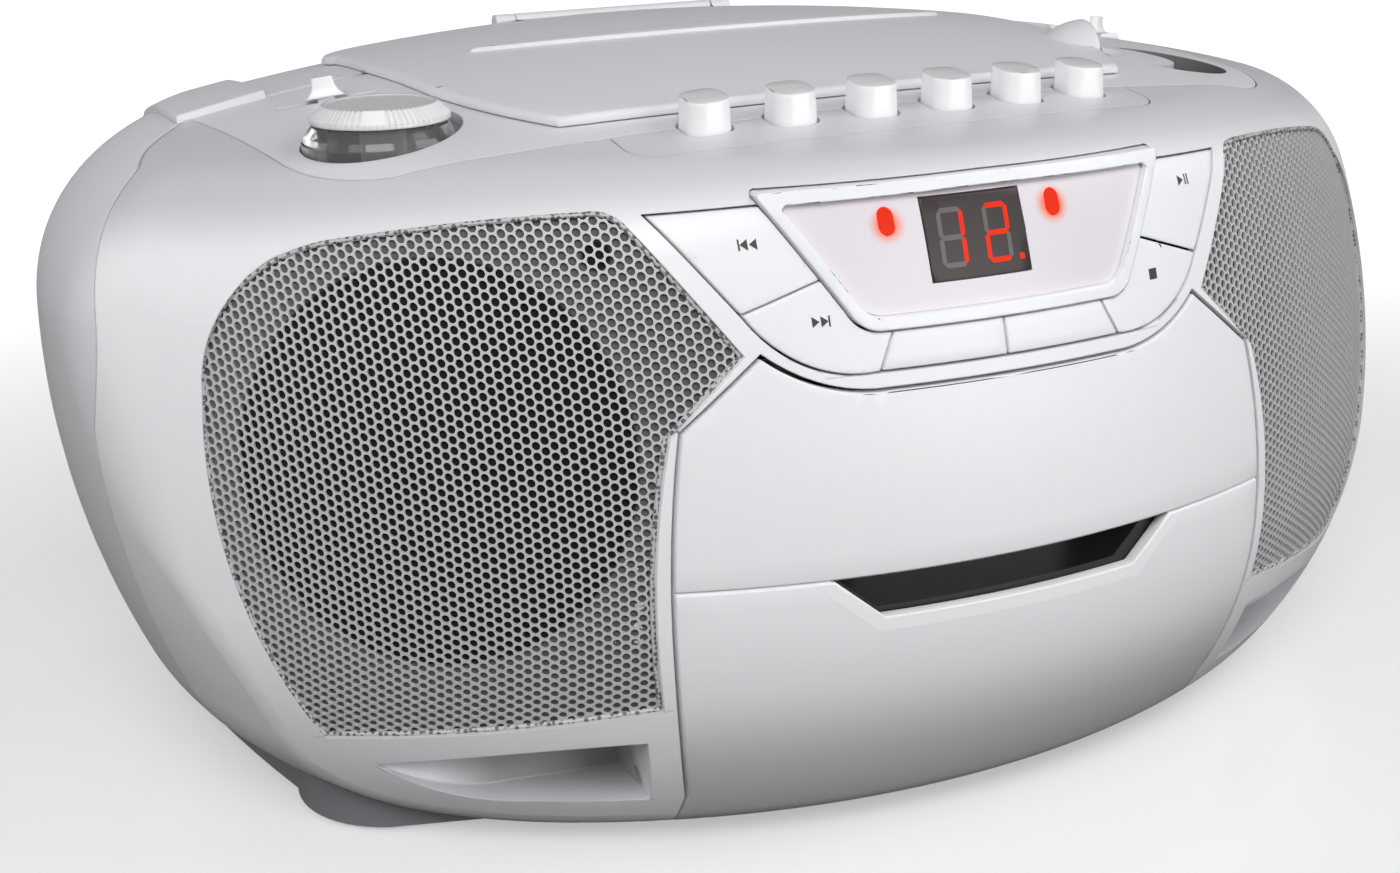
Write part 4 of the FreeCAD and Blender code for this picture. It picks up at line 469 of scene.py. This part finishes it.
def node_finishes():
    """A finish for each material slot of the record."""
    steel = seen(196, 198, 200)
    return {
        "silver_case": case_finish(),
        "silver_front": front_finish(),
        "white_control": white_painted_shade_finish(),
        "light_button": front_finish(),
        "frosted_lens": finish("display_rim", colours().front, 0.25, grain=0.006, edge=sizes().edge),
        "digit_window": finish("digit_window", colours().window, 0.3, spec=0.3, grain=0.002),
        "led_red": glow("red_light", colours().lit, 0.9),
        "black_window": finish("black_window", grey(16), 0.1, grain=0.003),
        "dark_base": finish("dark_base", colours().dark, 0.55, grain=0.05, grain_size=0.9),
        "smoked_drum": finish("smoked_wheel", grey(66), 0.25, grain=0.004),
        "clear_ring": finish("clear_ring", grey(235), 0.06, grain=0.004, grain_size=2,
                             Transmission_Weight=0.92, IOR=1.49),
        "silver_grille": finish("silver_grille", colours().grille, GRILLE_ROUGH, grain=0.008, drift=0.02),
        "black_paper": finish("black_paper", grey(22), 0.85, grain=0.12, grain_size=1.4),
        "inner_grey": finish("inner_grey", grey(78), 0.55, grain=0.04),
        "well_grey": finish("well_grey", grey(60), 0.5, grain=0.04),
        "steel_plate": finish("steel_plate", steel, 0.32, grain=0.01, Metallic=1.0),
        "chrome_tube": finish("chrome_tube", grey(215), 0.3, grain=0.001, Metallic=1.0),
        "board_green": finish("board_green", seen(26, 96, 60), 0.35, grain=0.03),
        "black_rubber": finish("black_rubber", grey(24), 0.8, grain=0.1, grain_size=0.8),
        "brass_metal": finish("brass_metal", seen(206, 172, 100), 0.3, Metallic=1.0),
        "spring_steel": finish("spring_steel", steel, 0.22, grain=0.006, Metallic=1.0),
    }


# ---------------------------------------------------------------- modelling helpers
def pick(*things):
    """Select only these objects; the first is active."""
    if bpy.context.object and bpy.context.object.mode != "OBJECT":
        bpy.ops.object.mode_set(mode="OBJECT")
    bpy.ops.object.select_all(action="DESELECT")
    for thing in things:
        thing.hide_viewport = False
        thing.select_set(True)
    bpy.context.view_layer.objects.active = things[0]


def edit(thing):
    """Open a piece in edit mode, with nothing selected."""
    pick(thing)
    bpy.ops.object.mode_set(mode="EDIT")
    bpy.ops.mesh.select_mode(type="VERT")
    bpy.ops.mesh.select_all(action="DESELECT")


def choose_faces(thing, test):
    """Select the faces whose middle and normal pass a test."""
    bpy.ops.mesh.select_mode(type="FACE")
    mesh = bmesh.from_edit_mesh(thing.data)
    for face in mesh.faces:
        face.select = bool(test(face.calc_center_median(), face.normal))
    mesh.select_flush_mode()
    bmesh.update_edit_mesh(thing.data)


def choose_edges(thing, test):
    """Select the edges whose two ends pass a test."""
    bpy.ops.mesh.select_mode(type="EDGE")
    mesh = bmesh.from_edit_mesh(thing.data)
    for edge in mesh.edges:
        edge.select = bool(test(*[vert.co for vert in edge.verts]))
    mesh.select_flush_mode()
    bmesh.update_edit_mesh(thing.data)


def settle(piece, name, material, node, replaces=True, angle=35):
    """Name a finished piece, bring its place into its mesh, and let it ride with a node's body."""
    pick(piece)
    bpy.ops.object.transform_apply(location=True, rotation=True, scale=True)
    bpy.ops.object.shade_smooth_by_angle(angle=math.radians(angle))
    piece.name = piece.data.name = name
    piece.data.materials.clear()
    piece.data.materials.append(material)
    note_up(piece, material)
    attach(piece, BODY_OF[node])
    if replaces:
        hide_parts(node)
    return piece


def use(piece, kind, **values):
    """Add a modifier with its values and apply it."""
    pick(piece)
    modifier = piece.modifiers.new(kind.title(), kind)
    for key, value in values.items():
        setattr(modifier, key, value)
    bpy.ops.object.modifier_apply(modifier=modifier.name)
    return piece


def traced(node):
    """A closed copy of a node's mesh to work on."""
    piece = bpy.data.objects.new(node + "_copy", NODES[node].data.copy())
    bpy.context.collection.objects.link(piece)
    pick(piece)
    bpy.ops.object.mode_set(mode="EDIT")
    bpy.ops.mesh.select_all(action="SELECT")
    bpy.ops.mesh.remove_doubles(threshold=0.002 * MM)
    bpy.ops.mesh.dissolve_limited(angle_limit=math.radians(0.2))
    bpy.ops.object.mode_set(mode="OBJECT")
    if piece.data.has_custom_normals:
        bpy.ops.mesh.customdata_custom_splitnormals_clear()
    return piece


def softened(node, material, width, segments=3):
    """A node with its sharp edges rounded, in the node's place."""
    piece = traced(node)
    use(piece, "BEVEL", width=width, segments=segments, limit_method="ANGLE",
        angle_limit=math.radians(32), use_clamp_overlap=False, harden_normals=False,
        miter_outer="MITER_ARC")
    return settle(piece, node + "_soft", material, node)


TREES = {}


def front_of(node, x, z):
    """Where a line straight to the back first meets a node, and how the node faces there."""
    if node not in TREES:
        mesh = NODES[node].data
        TREES[node] = BVHTree.FromPolygons([vert.co for vert in mesh.vertices],
                                           [face.vertices for face in mesh.polygons])
    where, normal, _, _ = TREES[node].ray_cast(Vector((x, -0.5, z)), Vector((0, 1, 0)))
    return where, normal


def drape(piece, node, lift):
    """Lay a flat piece that was drawn in the front view onto a node's front face."""
    for vert in piece.data.vertices:
        where, normal = front_of(node, vert.co.x, vert.co.z)
        if where is None:
            raise RuntimeError(f"{piece.name} reaches past {node}")
        vert.co = where + normal * lift
    return piece


# ---------------------------------------------------------------- operators
class PLAYER_OT_finishes(bpy.types.Operator):
    """Give every node of the frame the finish of its material slot"""
    bl_idname = "player.finishes"
    bl_label = "Finishes"

    def execute(self, context):
        table = node_finishes()
        special = {"display_lens": lens_finish(), "volume_drum": drum_finish(), "front_shell": front_painted_shade_finish(),
                   "top_panel": deck_painted_shade_finish(), "tuning_wheel": wheel_painted_shade_finish(), "key_panel": strip_finish()}
        for node, thing in NODES.items():
            material = special.get(node, table[SLOT_OF[node]])
            for slot in thing.material_slots:
                slot.material = material
            if not thing.material_slots:
                thing.data.materials.append(material)
        return {"FINISHED"}


class PLAYER_OT_shells(bpy.types.Operator):
    """Round the edges of the lid, the handle, the battery cover and the door, and paint a band of highlight
    round the door's slot
    """
    bl_idname = "player.shells"
    bl_label = "Case"

    def execute(self, context):
        for node in ("cd_lid", "handle", "battery_cover"):
            softened(node, case_finish(), width=0.3 * MM)
        softened("cassette_door", door_painted_shade_finish(), width=0.25 * MM)
        self.lip()
        return {"FINISHED"}

    def lip(self):
        """A band of painted highlight below and beside the door's slot, where a lit chamfer rims it."""
        inner_gap, outer_gap, below_crease = 0.2 * MM, 3.1 * MM, 0.5 * MM
        (top, high), (foot, low) = SLOT_TOP, SLOT_FOOT
        high -= below_crease
        rims = [((foot + 0.45 * gap, low - gap), (top + 1.3 * gap, high)) for gap in (inner_gap, outer_gap)]
        (near_foot, near_top), (far_foot, far_top) = rims
        mirrored = [(-x, z) for x, z in (near_foot, far_foot)]
        strips = [self.strip(mirrored[0], near_foot, mirrored[1], far_foot, 40)]
        for side in (-1, 1):
            corners = [(side * x, z) for x, z in (near_foot, near_top, far_foot, far_top)]
            strips.append(self.strip(*corners, 6))
        pick(*strips)
        bpy.ops.object.join()
        band = bpy.context.object
        drape(band, "cassette_door", sizes().ink)
        printed(band)
        settle(band, "slot_lip_painted_highlight", lip_painted_highlight_finish(), "cassette_door", replaces=False)

    def strip(self, near_start, near_end, far_start, far_end, steps):
        """A flat strip in the front view between a near line and a far line."""
        bpy.ops.mesh.primitive_grid_add(x_subdivisions=steps, y_subdivisions=2, size=2)
        thing = bpy.context.object
        near_start, near_end, far_start, far_end = (
            Vector((x, 0, z)) for x, z in (near_start, near_end, far_start, far_end))
        for vert in thing.data.vertices:
            across, up = (vert.co.x + 1) / 2, (vert.co.y + 1) / 2
            vert.co = near_start.lerp(near_end, across).lerp(far_start.lerp(far_end, across), up)
        return thing


class PLAYER_OT_controls(bpy.types.Operator):
    """Round the tape keys, the front buttons and the sliders"""
    bl_idname = "player.controls"
    bl_label = "Keys and buttons"

    def execute(self, context):
        for node in NODES:
            if node.startswith("key_") and node != "key_panel":
                softened(node, white_painted_shade_finish(), width=0.3 * MM, segments=2)
            elif node.startswith("button_"):
                softened(node, front_finish(), width=0.22 * MM, segments=2)
            elif node.endswith("_slider"):
                softened(node, white_painted_shade_finish(), width=0.3 * MM)
        return {"FINISHED"}


class PLAYER_OT_dials(bpy.types.Operator):
    """Model the knurled volume dial"""
    bl_idname = "player.dials"
    bl_label = "Dials"

    def execute(self, context):
        low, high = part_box("volume_dial")
        middle = (low + high) / 2
        radius, slope, brim = (high.x - low.x) / 2, 2.7 * MM, 1.0 * MM
        top, stem = radius - 2.8 * MM, 0.2
        steps = 2 * sizes().knurls
        blank, half_blank = math.radians(-111), math.radians(10)
        step = 2 * math.pi / steps
        bpy.ops.mesh.primitive_cone_add(vertices=steps, radius1=radius, radius2=top, depth=slope,
                                        location=(middle.x, middle.y, high.z - slope / 2))
        dial = bpy.context.object
        pick(dial)
        bpy.ops.object.transform_apply(location=True)
        edit(dial)
        choose_faces(dial, lambda c, n: n.z < -0.9)
        bpy.ops.mesh.extrude_region_move(TRANSFORM_OT_translate={"value": (0, 0, -brim)})

        def turn_of(c):
            return math.atan2(c.y - middle.y, c.x - middle.x)

        def every_other(c):
            return int((turn_of(c) + 2 * math.pi) % (2 * math.pi) / step) % 2 == 0

        def groove(c, n):
            away = abs((turn_of(c) - blank + math.pi) % (2 * math.pi) - math.pi)
            return 0.2 < n.z < 0.9 and away > half_blank and every_other(c)

        choose_faces(dial, groove)
        bpy.ops.mesh.inset(thickness=0.08 * MM, depth=-sizes().knurl_deep, use_individual=True)
        choose_faces(dial, lambda c, n: n.z > 0.99)
        bpy.ops.mesh.inset(thickness=0.7 * MM, depth=0)
        bpy.ops.mesh.inset(thickness=0.3 * MM, depth=-0.2 * MM)

        choose_faces(dial, lambda c, n: abs(n.z) < 0.1 and c.z < high.z - slope and every_other(c))
        bpy.ops.mesh.inset(thickness=0.05 * MM, depth=-0.12 * MM, use_individual=True)
        choose_faces(dial, lambda c, n: n.z < -0.9 and c.z < high.z - slope - brim / 2)
        bpy.ops.mesh.extrude_region_move()
        bpy.ops.transform.resize(value=(stem, stem, 1), center_override=(middle.x, middle.y, 0))
        reach = low.z - high.z + slope + brim
        bpy.ops.mesh.extrude_region_move(TRANSFORM_OT_translate={"value": (0, 0, reach)})
        bpy.ops.object.mode_set(mode="OBJECT")
        settle(dial, "volume_cap", white_painted_shade_finish(), "volume_dial", angle=25)
        return {"FINISHED"}


class PLAYER_OT_grilles(bpy.types.Operator):
    """Model the two perforated grilles with their turned edges"""
    bl_idname = "player.grilles"
    bl_label = "Grilles"

    def execute(self, context):
        for node in ("grille_left", "grille_right"):
            sheet = self.sheet(node)
            settle(sheet, node + "_sheet", node_finishes()["silver_grille"], node, angle=30)
            bead = self.bead(node)
            settle(bead, node + "_edge", bead_finish(), node, replaces=False)
            # the sheet behind the grille carries painted shade, with the black of the speaker and the
            # microphone
            cloth = self.cloth(node)
            settle(cloth, node + "_cloth", shade_and_speaker_sheet_finish(node), node, replaces=False)
        return {"FINISHED"}

    def sheet(self, node):
        """One six-sided cell with its hole, repeated over the node and bent to its front."""
        size = sizes()
        pitch, across = size.hole_pitch, size.hole_pitch * math.sqrt(3) / 2
        low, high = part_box(node)
        reach = size.front_radius
        sides = [reach * math.asin(x / reach) for x in (low.x, high.x)]
        columns = int((sides[1] - sides[0]) / across) + 3
        rows = int((high.z - low.z) / pitch) + 4
        bpy.ops.mesh.primitive_circle_add(vertices=12, radius=pitch / math.sqrt(3), fill_type="NOTHING",
                                          rotation=(math.pi / 2, 0, 0), location=(0, 0, 0))
        cell = bpy.context.object
        pick(cell)
        bpy.ops.object.transform_apply(rotation=True)
        for vert in cell.data.vertices:
            turn = math.atan2(vert.co.z, vert.co.x)
            number = round(turn / (math.pi / 6))
            far = pitch / math.sqrt(3) if number % 2 == 0 else pitch / 2
            vert.co = Vector((far * math.cos(number * math.pi / 6), 0, far * math.sin(number * math.pi / 6)))
        edit(cell)
        bpy.ops.mesh.select_all(action="SELECT")
        bpy.ops.mesh.extrude_region_move()
        mesh = bmesh.from_edit_mesh(cell.data)
        for vert in [v for v in mesh.verts if v.select]:
            vert.co = vert.co.normalized() * size.hole_size / 2
        bmesh.update_edit_mesh(cell.data)
        bpy.ops.object.mode_set(mode="OBJECT")
        use(cell, "ARRAY", count=rows, use_relative_offset=False, use_constant_offset=True,
            constant_offset_displace=(0, 0, pitch))
        use(cell, "ARRAY", count=(columns + 1) // 2, use_relative_offset=False, use_constant_offset=True,
            constant_offset_displace=(2 * across, 0, 0))
        use(cell, "ARRAY", count=2, use_relative_offset=False, use_constant_offset=True,
            constant_offset_displace=(across, 0, pitch / 2))
        edit(cell)
        bpy.ops.mesh.select_all(action="SELECT")
        bpy.ops.mesh.remove_doubles(threshold=0.02 * MM)
        bpy.ops.object.mode_set(mode="OBJECT")
        start = Vector((sides[0] - across, 0, low.z - 1.5 * pitch))
        mesh = bmesh.new()
        mesh.from_mesh(cell.data)
        for vert in mesh.verts:
            vert.co += start
            vert.co.x = reach * math.sin(vert.co.x / reach)
        outside = []
        for vert in mesh.verts:
            where, _ = front_of(node, vert.co.x, vert.co.z)
            if where is None:
                outside.append(vert)
            else:
                vert.co.y = where.y
        bmesh.ops.delete(mesh, geom=outside, context="VERTS")
        lonely = [face for face in mesh.faces if not any(len(e.link_faces) > 1 for e in face.edges)]
        bmesh.ops.delete(mesh, geom=lonely, context="FACES")
        bmesh.ops.recalc_face_normals(mesh, faces=mesh.faces)
        if sum(face.normal.y for face in mesh.faces) > 0:
            bmesh.ops.reverse_faces(mesh, faces=mesh.faces)
        mesh.to_mesh(cell.data)
        mesh.free()
        use(cell, "SOLIDIFY", thickness=size.sheet, offset=-1)
        return cell

    def cloth(self, node):
        """A sheet close behind the grille's sheet, which carries painted shade and the speakers' black."""
        piece = traced(node)
        edit(piece)
        choose_faces(piece, lambda c, n: n.y > -0.2)
        bpy.ops.mesh.delete(type="FACE")
        bpy.ops.mesh.select_all(action="SELECT")
        bpy.ops.transform.translate(value=(0, sizes().sheet + 0.25 * MM, 0))
        bpy.ops.object.mode_set(mode="OBJECT")
        return piece

    def bead(self, node):
        """A round bead along the outline of the node's front face."""
        piece = traced(node)
        edit(piece)
        bpy.ops.mesh.select_mode(type="EDGE")
        bpy.ops.mesh.edges_select_sharp(sharpness=math.radians(40))
        mesh = bmesh.from_edit_mesh(piece.data)
        for edge in mesh.edges:
            front = any(face.normal.y < -0.35 for face in edge.link_faces)
            edge.select = edge.select and front
        mesh.select_flush_mode()
        bmesh.update_edit_mesh(piece.data)
        bpy.ops.mesh.select_all(action="INVERT")
        bpy.ops.mesh.delete(type="EDGE")
        bpy.ops.object.mode_set(mode="OBJECT")
        bpy.ops.object.convert(target="CURVE")
        piece = bpy.context.object
        piece.data.bevel_depth = 0.55 * MM
        piece.data.bevel_resolution = 2
        bpy.ops.object.convert(target="MESH")
        return bpy.context.object


class PLAYER_OT_display(bpy.types.Operator):
    """Model the display: its rim and its number"""
    bl_idname = "player.display"
    bl_label = "Display"

    LIT = {"1": "bc", "2": "abged"}

    def execute(self, context):
        softened("display_frame", node_finishes()["frosted_lens"], width=0.22 * MM, segments=2)
        softened("digit_display", node_finishes()["digit_window"], width=0.5 * MM)
        low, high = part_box("digit_display")
        lit = glow("lit_stroke", colours().lit, 0.95)
        unlit = finish("unlit_stroke", seen(94, 86, 86), 0.3, grain=0.002)
        tall, wide, lean = 11.4 * MM, 6.0 * MM, 0.038
        foot = low.z + 2.45 * MM
        point, point_up, point_size = 21.2 * MM, 0.6 * MM, 0.8 * MM
        for number, edge in (("1", 2.6 * MM), ("2", 13.1 * MM)):
            on, off = [], []
            for stroke in "abcdefg":
                bar = self.stroke(stroke, wide, tall)
                for vert in bar.data.vertices:
                    vert.co += Vector((low.x + edge + lean * vert.co.z, 0, foot))
                (on if stroke in self.LIT[number] else off).append(bar)
            self.joined(on, "lit_" + number, lit)
            self.joined(off, "unlit_" + number, unlit)
        bpy.ops.mesh.primitive_circle_add(vertices=4, radius=point_size, fill_type="NGON",
                                          rotation=(math.pi / 2, math.pi / 4, 0),
                                          location=(low.x + point, 0, foot + point_up))
        self.joined([bpy.context.object], "lit_point", lit)
        return {"FINISHED"}

    def stroke(self, name, wide, tall):
        """One pointed bar of a number, drawn in the front view from the number's lower left corner."""
        thick, gap = 1.0 * MM, 0.1 * MM
        upright = name in "bcef"
        reach = (tall - thick) / 2 if upright else wide - thick
        bpy.ops.mesh.primitive_plane_add(size=1, rotation=(math.pi / 2, 0, 0))
        bar = bpy.context.object
        pick(bar)
        bpy.ops.object.transform_apply(rotation=True)
        bar.data.transform(Matrix.Diagonal((reach - thick - gap, 1, thick, 1)))
        edit(bar)
        for side in (-1, 1):
            choose_edges(bar, lambda a, b: a.x * side > 0 and b.x * side > 0)
            bpy.ops.mesh.extrude_region_move(TRANSFORM_OT_translate={"value": (side * thick / 2, 0, 0)})
            bpy.ops.mesh.merge(type="CENTER")
        bpy.ops.object.mode_set(mode="OBJECT")
        if upright:
            bar.data.transform(Matrix.Rotation(math.pi / 2, 4, "Y"))
        half = thick / 2
        spots = {"a": (wide / 2, tall - half), "d": (wide / 2, half), "g": (wide / 2, tall / 2),
                 "b": (wide - half, tall * 0.75 - half / 2), "c": (wide - half, tall * 0.25 + half / 2),
                 "e": (half, tall * 0.25 + half / 2), "f": (half, tall * 0.75 - half / 2)}
        across, up = spots[name]
        for vert in bar.data.vertices:
            vert.co += Vector((across, 0, up))
        return bar

    def joined(self, bars, name, material):
        """Join some strokes and print them on the number's window."""
        pick(*bars)
        if len(bars) > 1:
            bpy.ops.object.join()
        piece = bpy.context.object
        bpy.ops.object.transform_apply(location=True, rotation=True, scale=True)
        drape(piece, "digit_display", sizes().ink)
        printed(piece)
        settle(piece, name, material, "digit_display", replaces=False)


def printed(piece):
    """Face a flat mark to the front and give it the height of its ink."""
    edit(piece)
    bpy.ops.mesh.select_all(action="SELECT")
    bpy.ops.mesh.normals_make_consistent(inside=False)
    bpy.ops.object.mode_set(mode="OBJECT")
    if sum(face.normal.y for face in piece.data.polygons) > 0:
        piece.data.flip_normals()
    use(piece, "SOLIDIFY", thickness=sizes().ink, offset=-1)


class PLAYER_OT_marks(bpy.types.Operator):
    """Print the plain transport signs on four of the front buttons"""
    bl_idname = "player.marks"
    bl_label = "Signs"

    def execute(self, context):
        bar, arrow = self.bar, self.arrow
        wide, tall, line = 1.5 * MM, 2.1 * MM, 0.35 * MM
        self.sign("button_back", (-50.6 * MM, 132.4 * MM), [
            bar(-2.0 * MM, line, tall), arrow(-1.05 * MM, -wide, tall), arrow(0.75 * MM, -wide, tall)])
        self.sign("button_next", (-39.3 * MM, 117.3 * MM), [
            arrow(-0.95 * MM, wide, tall), arrow(0.85 * MM, wide, tall), bar(1.8 * MM, line, tall)])
        self.sign("button_play_pause", (55.0 * MM, 134.1 * MM), [
            arrow(-1.2 * MM, 1.7 * MM, tall), bar(0.35 * MM, 0.4 * MM, tall), bar(1.15 * MM, 0.4 * MM, tall)])
        self.sign("button_stop", (40.3 * MM, 117.1 * MM), [bar(0, 2.2 * MM, 2.2 * MM)])
        return {"FINISHED"}

    def bar(self, x, wide, tall):
        bpy.ops.mesh.primitive_plane_add(size=1, rotation=(math.pi / 2, 0, 0))
        thing = bpy.context.object
        pick(thing)
        bpy.ops.object.transform_apply(rotation=True)
        thing.data.transform(Matrix.Translation((x, 0, 0)) @ Matrix.Diagonal((wide, 1, tall, 1)))
        return thing

    def arrow(self, x, long, tall):
        """A triangle whose point is at its right for a positive length."""
        bpy.ops.mesh.primitive_circle_add(vertices=3, radius=1, fill_type="NGON",
                                          rotation=(math.pi / 2, 0, 0))
        thing = bpy.context.object
        pick(thing)
        bpy.ops.object.transform_apply(rotation=True)
        corners = [(x + long / 2, 0), (x - long / 2, tall / 2), (x - long / 2, -tall / 2)]
        for vert, (across, up) in zip(thing.data.vertices, corners):
            vert.co = Vector((across, 0, up))
        return thing

    def sign(self, node, spot, things):
        """Join the pieces of a sign and print it on a button round a spot of the front view."""
        pick(*things)
        if len(things) > 1:
            bpy.ops.object.join()
        piece = bpy.context.object
        for vert in piece.data.vertices:
            vert.co += Vector((spot[0], 0, spot[1]))
        drape(piece, node, sizes().ink)
        printed(piece)
        settle(piece, node + "_sign", ink_finish(), node, replaces=False)


class PLAYER_OT_stage(bpy.types.Operator):
    """Set the floor, the light and the camera"""
    bl_idname = "player.stage"
    bl_label = "Stage"

    def execute(self, context):
        self.floor()
        self.light()
        self.camera()
        return {"FINISHED"}

    def floor(self):
        """A pale floor with painted shade near the part, which lightens away from it."""
        bpy.ops.mesh.primitive_plane_add(size=12, location=(0, 0, 0))
        floor = bpy.context.object
        floor.name = "floor"
        material = bpy.data.materials.new("pale_floor")
        material.use_nodes = True
        tree = material.node_tree
        shader = tree.nodes["Principled BSDF"]
        shader.inputs["Roughness"].default_value = 0.16
        shader.inputs["Specular IOR Level"].default_value = 0.45
        path = tree.nodes.new("ShaderNodeLightPath")
        paint = tree.nodes.new("ShaderNodeMix")
        paint.data_type = "RGBA"
        paint.inputs["A"].default_value = (0.08, 0.08, 0.08, 1)
        paint.inputs["B"].default_value = (0.55, 0.55, 0.553, 1)
        tree.links.new(path.outputs["Is Camera Ray"], paint.inputs["Factor"])
        tree.links.new(paint.outputs["Result"], shader.inputs["Base Color"])
        # painted shade: the floor's glow is weaker near the part
        away = distance_from(tree, object_place(tree), (0, 0, 0))
        rise = ranged(tree, away, 0.2, 0.7, low=0.42, curve="SMOOTHSTEP")
        glowing = combined(tree, "MULTIPLY", path.outputs["Is Camera Ray"], rise)
        shader.inputs["Emission Color"].default_value = (1, 1, 1, 1)
        tree.links.new(glowing, shader.inputs["Emission Strength"])
        floor.data.materials.append(material)

    def light(self):
        """A dim white room and seven lamps; the two behind the part make no reflections."""
        world = bpy.data.worlds.new("studio")
        bpy.context.scene.world = world
        world.use_nodes = True
        tree = world.node_tree
        background = tree.nodes["Background"]
        background.inputs["Color"].default_value = (1, 1, 1, 1)
        path = tree.nodes.new("ShaderNodeLightPath")
        level = ranged(tree, path.outputs["Is Camera Ray"], 0, 1, low=0.03)
        tree.links.new(level, background.inputs["Strength"])
        for name, left, high, power, glossy in (
                ("main_light", 24, 45, 13.6, True), ("right_light", -60, 40, 8, True),
                ("low_light", -23, 14, 8.4, True), ("left_light", 60, 30, 5.6, True),
                ("side_light", 110, 15, 5, True), ("rear_light", 175, 16, 6, False),
                ("rear_right_light", -120, 12, 4, False)):
            self.lamp(name, left, high, power)
            bpy.context.object.visible_glossy = glossy

    def lamp(self, name, left, high, power):
        """A round lamp, placed by its angle to the left of the front and above the floor."""
        left, high, aim, far = math.radians(left), math.radians(high), Vector((0, 0, 0.08)), 1.7
        away = Vector((-math.sin(left) * math.cos(high), -math.cos(left) * math.cos(high), math.sin(high)))
        bpy.ops.object.light_add(type="AREA", location=aim + away * far)
        lamp = bpy.context.object
        lamp.name = name
        lamp.data.shape = "DISK"
        lamp.data.size = 1.0
        lamp.data.energy = power
        lamp.rotation_euler = (-away).to_track_quat("-Z", "Y").to_euler()

    def camera(self):
        """The camera stands to the front left, a little above, and is rolled slightly."""
        yaw, pitch, roll = (math.radians(angle) for angle in (24.073, 18.569, -1.473))
        place, lens = Vector((-0.209276, -0.42509, 0.216111)), 49.32
        aim = Vector((math.sin(yaw) * math.cos(pitch), math.cos(yaw) * math.cos(pitch), -math.sin(pitch)))
        level = Vector((math.cos(yaw), -math.sin(yaw), 0))
        upright = level.cross(aim)
        right = level * math.cos(roll) + upright * math.sin(roll)
        up = upright * math.cos(roll) - level * math.sin(roll)
        bpy.ops.object.camera_add()
        camera = bpy.context.object
        turn = Matrix((right, up, -aim)).transposed().to_4x4()
        camera.matrix_world = Matrix.Translation(place) @ turn
        camera.data.lens = lens
        camera.data.sensor_width = 36
        camera.data.clip_start = 0.01
        bpy.context.scene.camera = camera
        bpy.context.scene.view_settings.view_transform = "Standard"


class PLAYER_PT_panel(bpy.types.Panel):
    """The player's sizes, colours and steps"""
    bl_label = "Player"
    bl_idname = "PLAYER_PT_panel"
    bl_space_type = "VIEW_3D"
    bl_region_type = "UI"
    bl_category = "Player"

    def draw(self, context):
        for group in (context.scene.player_sizes, context.scene.player_colours):
            for name in group.__annotations__:
                self.layout.prop(group, name)
        for step in STEPS:
            self.layout.operator(step.bl_idname)


STEPS = (PLAYER_OT_finishes, PLAYER_OT_shells, PLAYER_OT_controls, PLAYER_OT_dials, PLAYER_OT_grilles,
         PLAYER_OT_display, PLAYER_OT_marks, PLAYER_OT_stage)
CLASSES = (PlayerSizes, PlayerColours, *STEPS, PLAYER_PT_panel)


def register():
    for item in CLASSES:
        bpy.utils.register_class(item)
    bpy.types.Scene.player_sizes = bpy.props.PointerProperty(type=PlayerSizes)
    bpy.types.Scene.player_colours = bpy.props.PointerProperty(type=PlayerColours)


def unregister():
    del bpy.types.Scene.player_sizes
    del bpy.types.Scene.player_colours
    for item in reversed(CLASSES):
        bpy.utils.unregister_class(item)


def main():
    register()
    for step in STEPS:
        group, name = step.bl_idname.split(".")
        getattr(getattr(bpy.ops, group), name)()


if __name__ == "__main__":
    main()
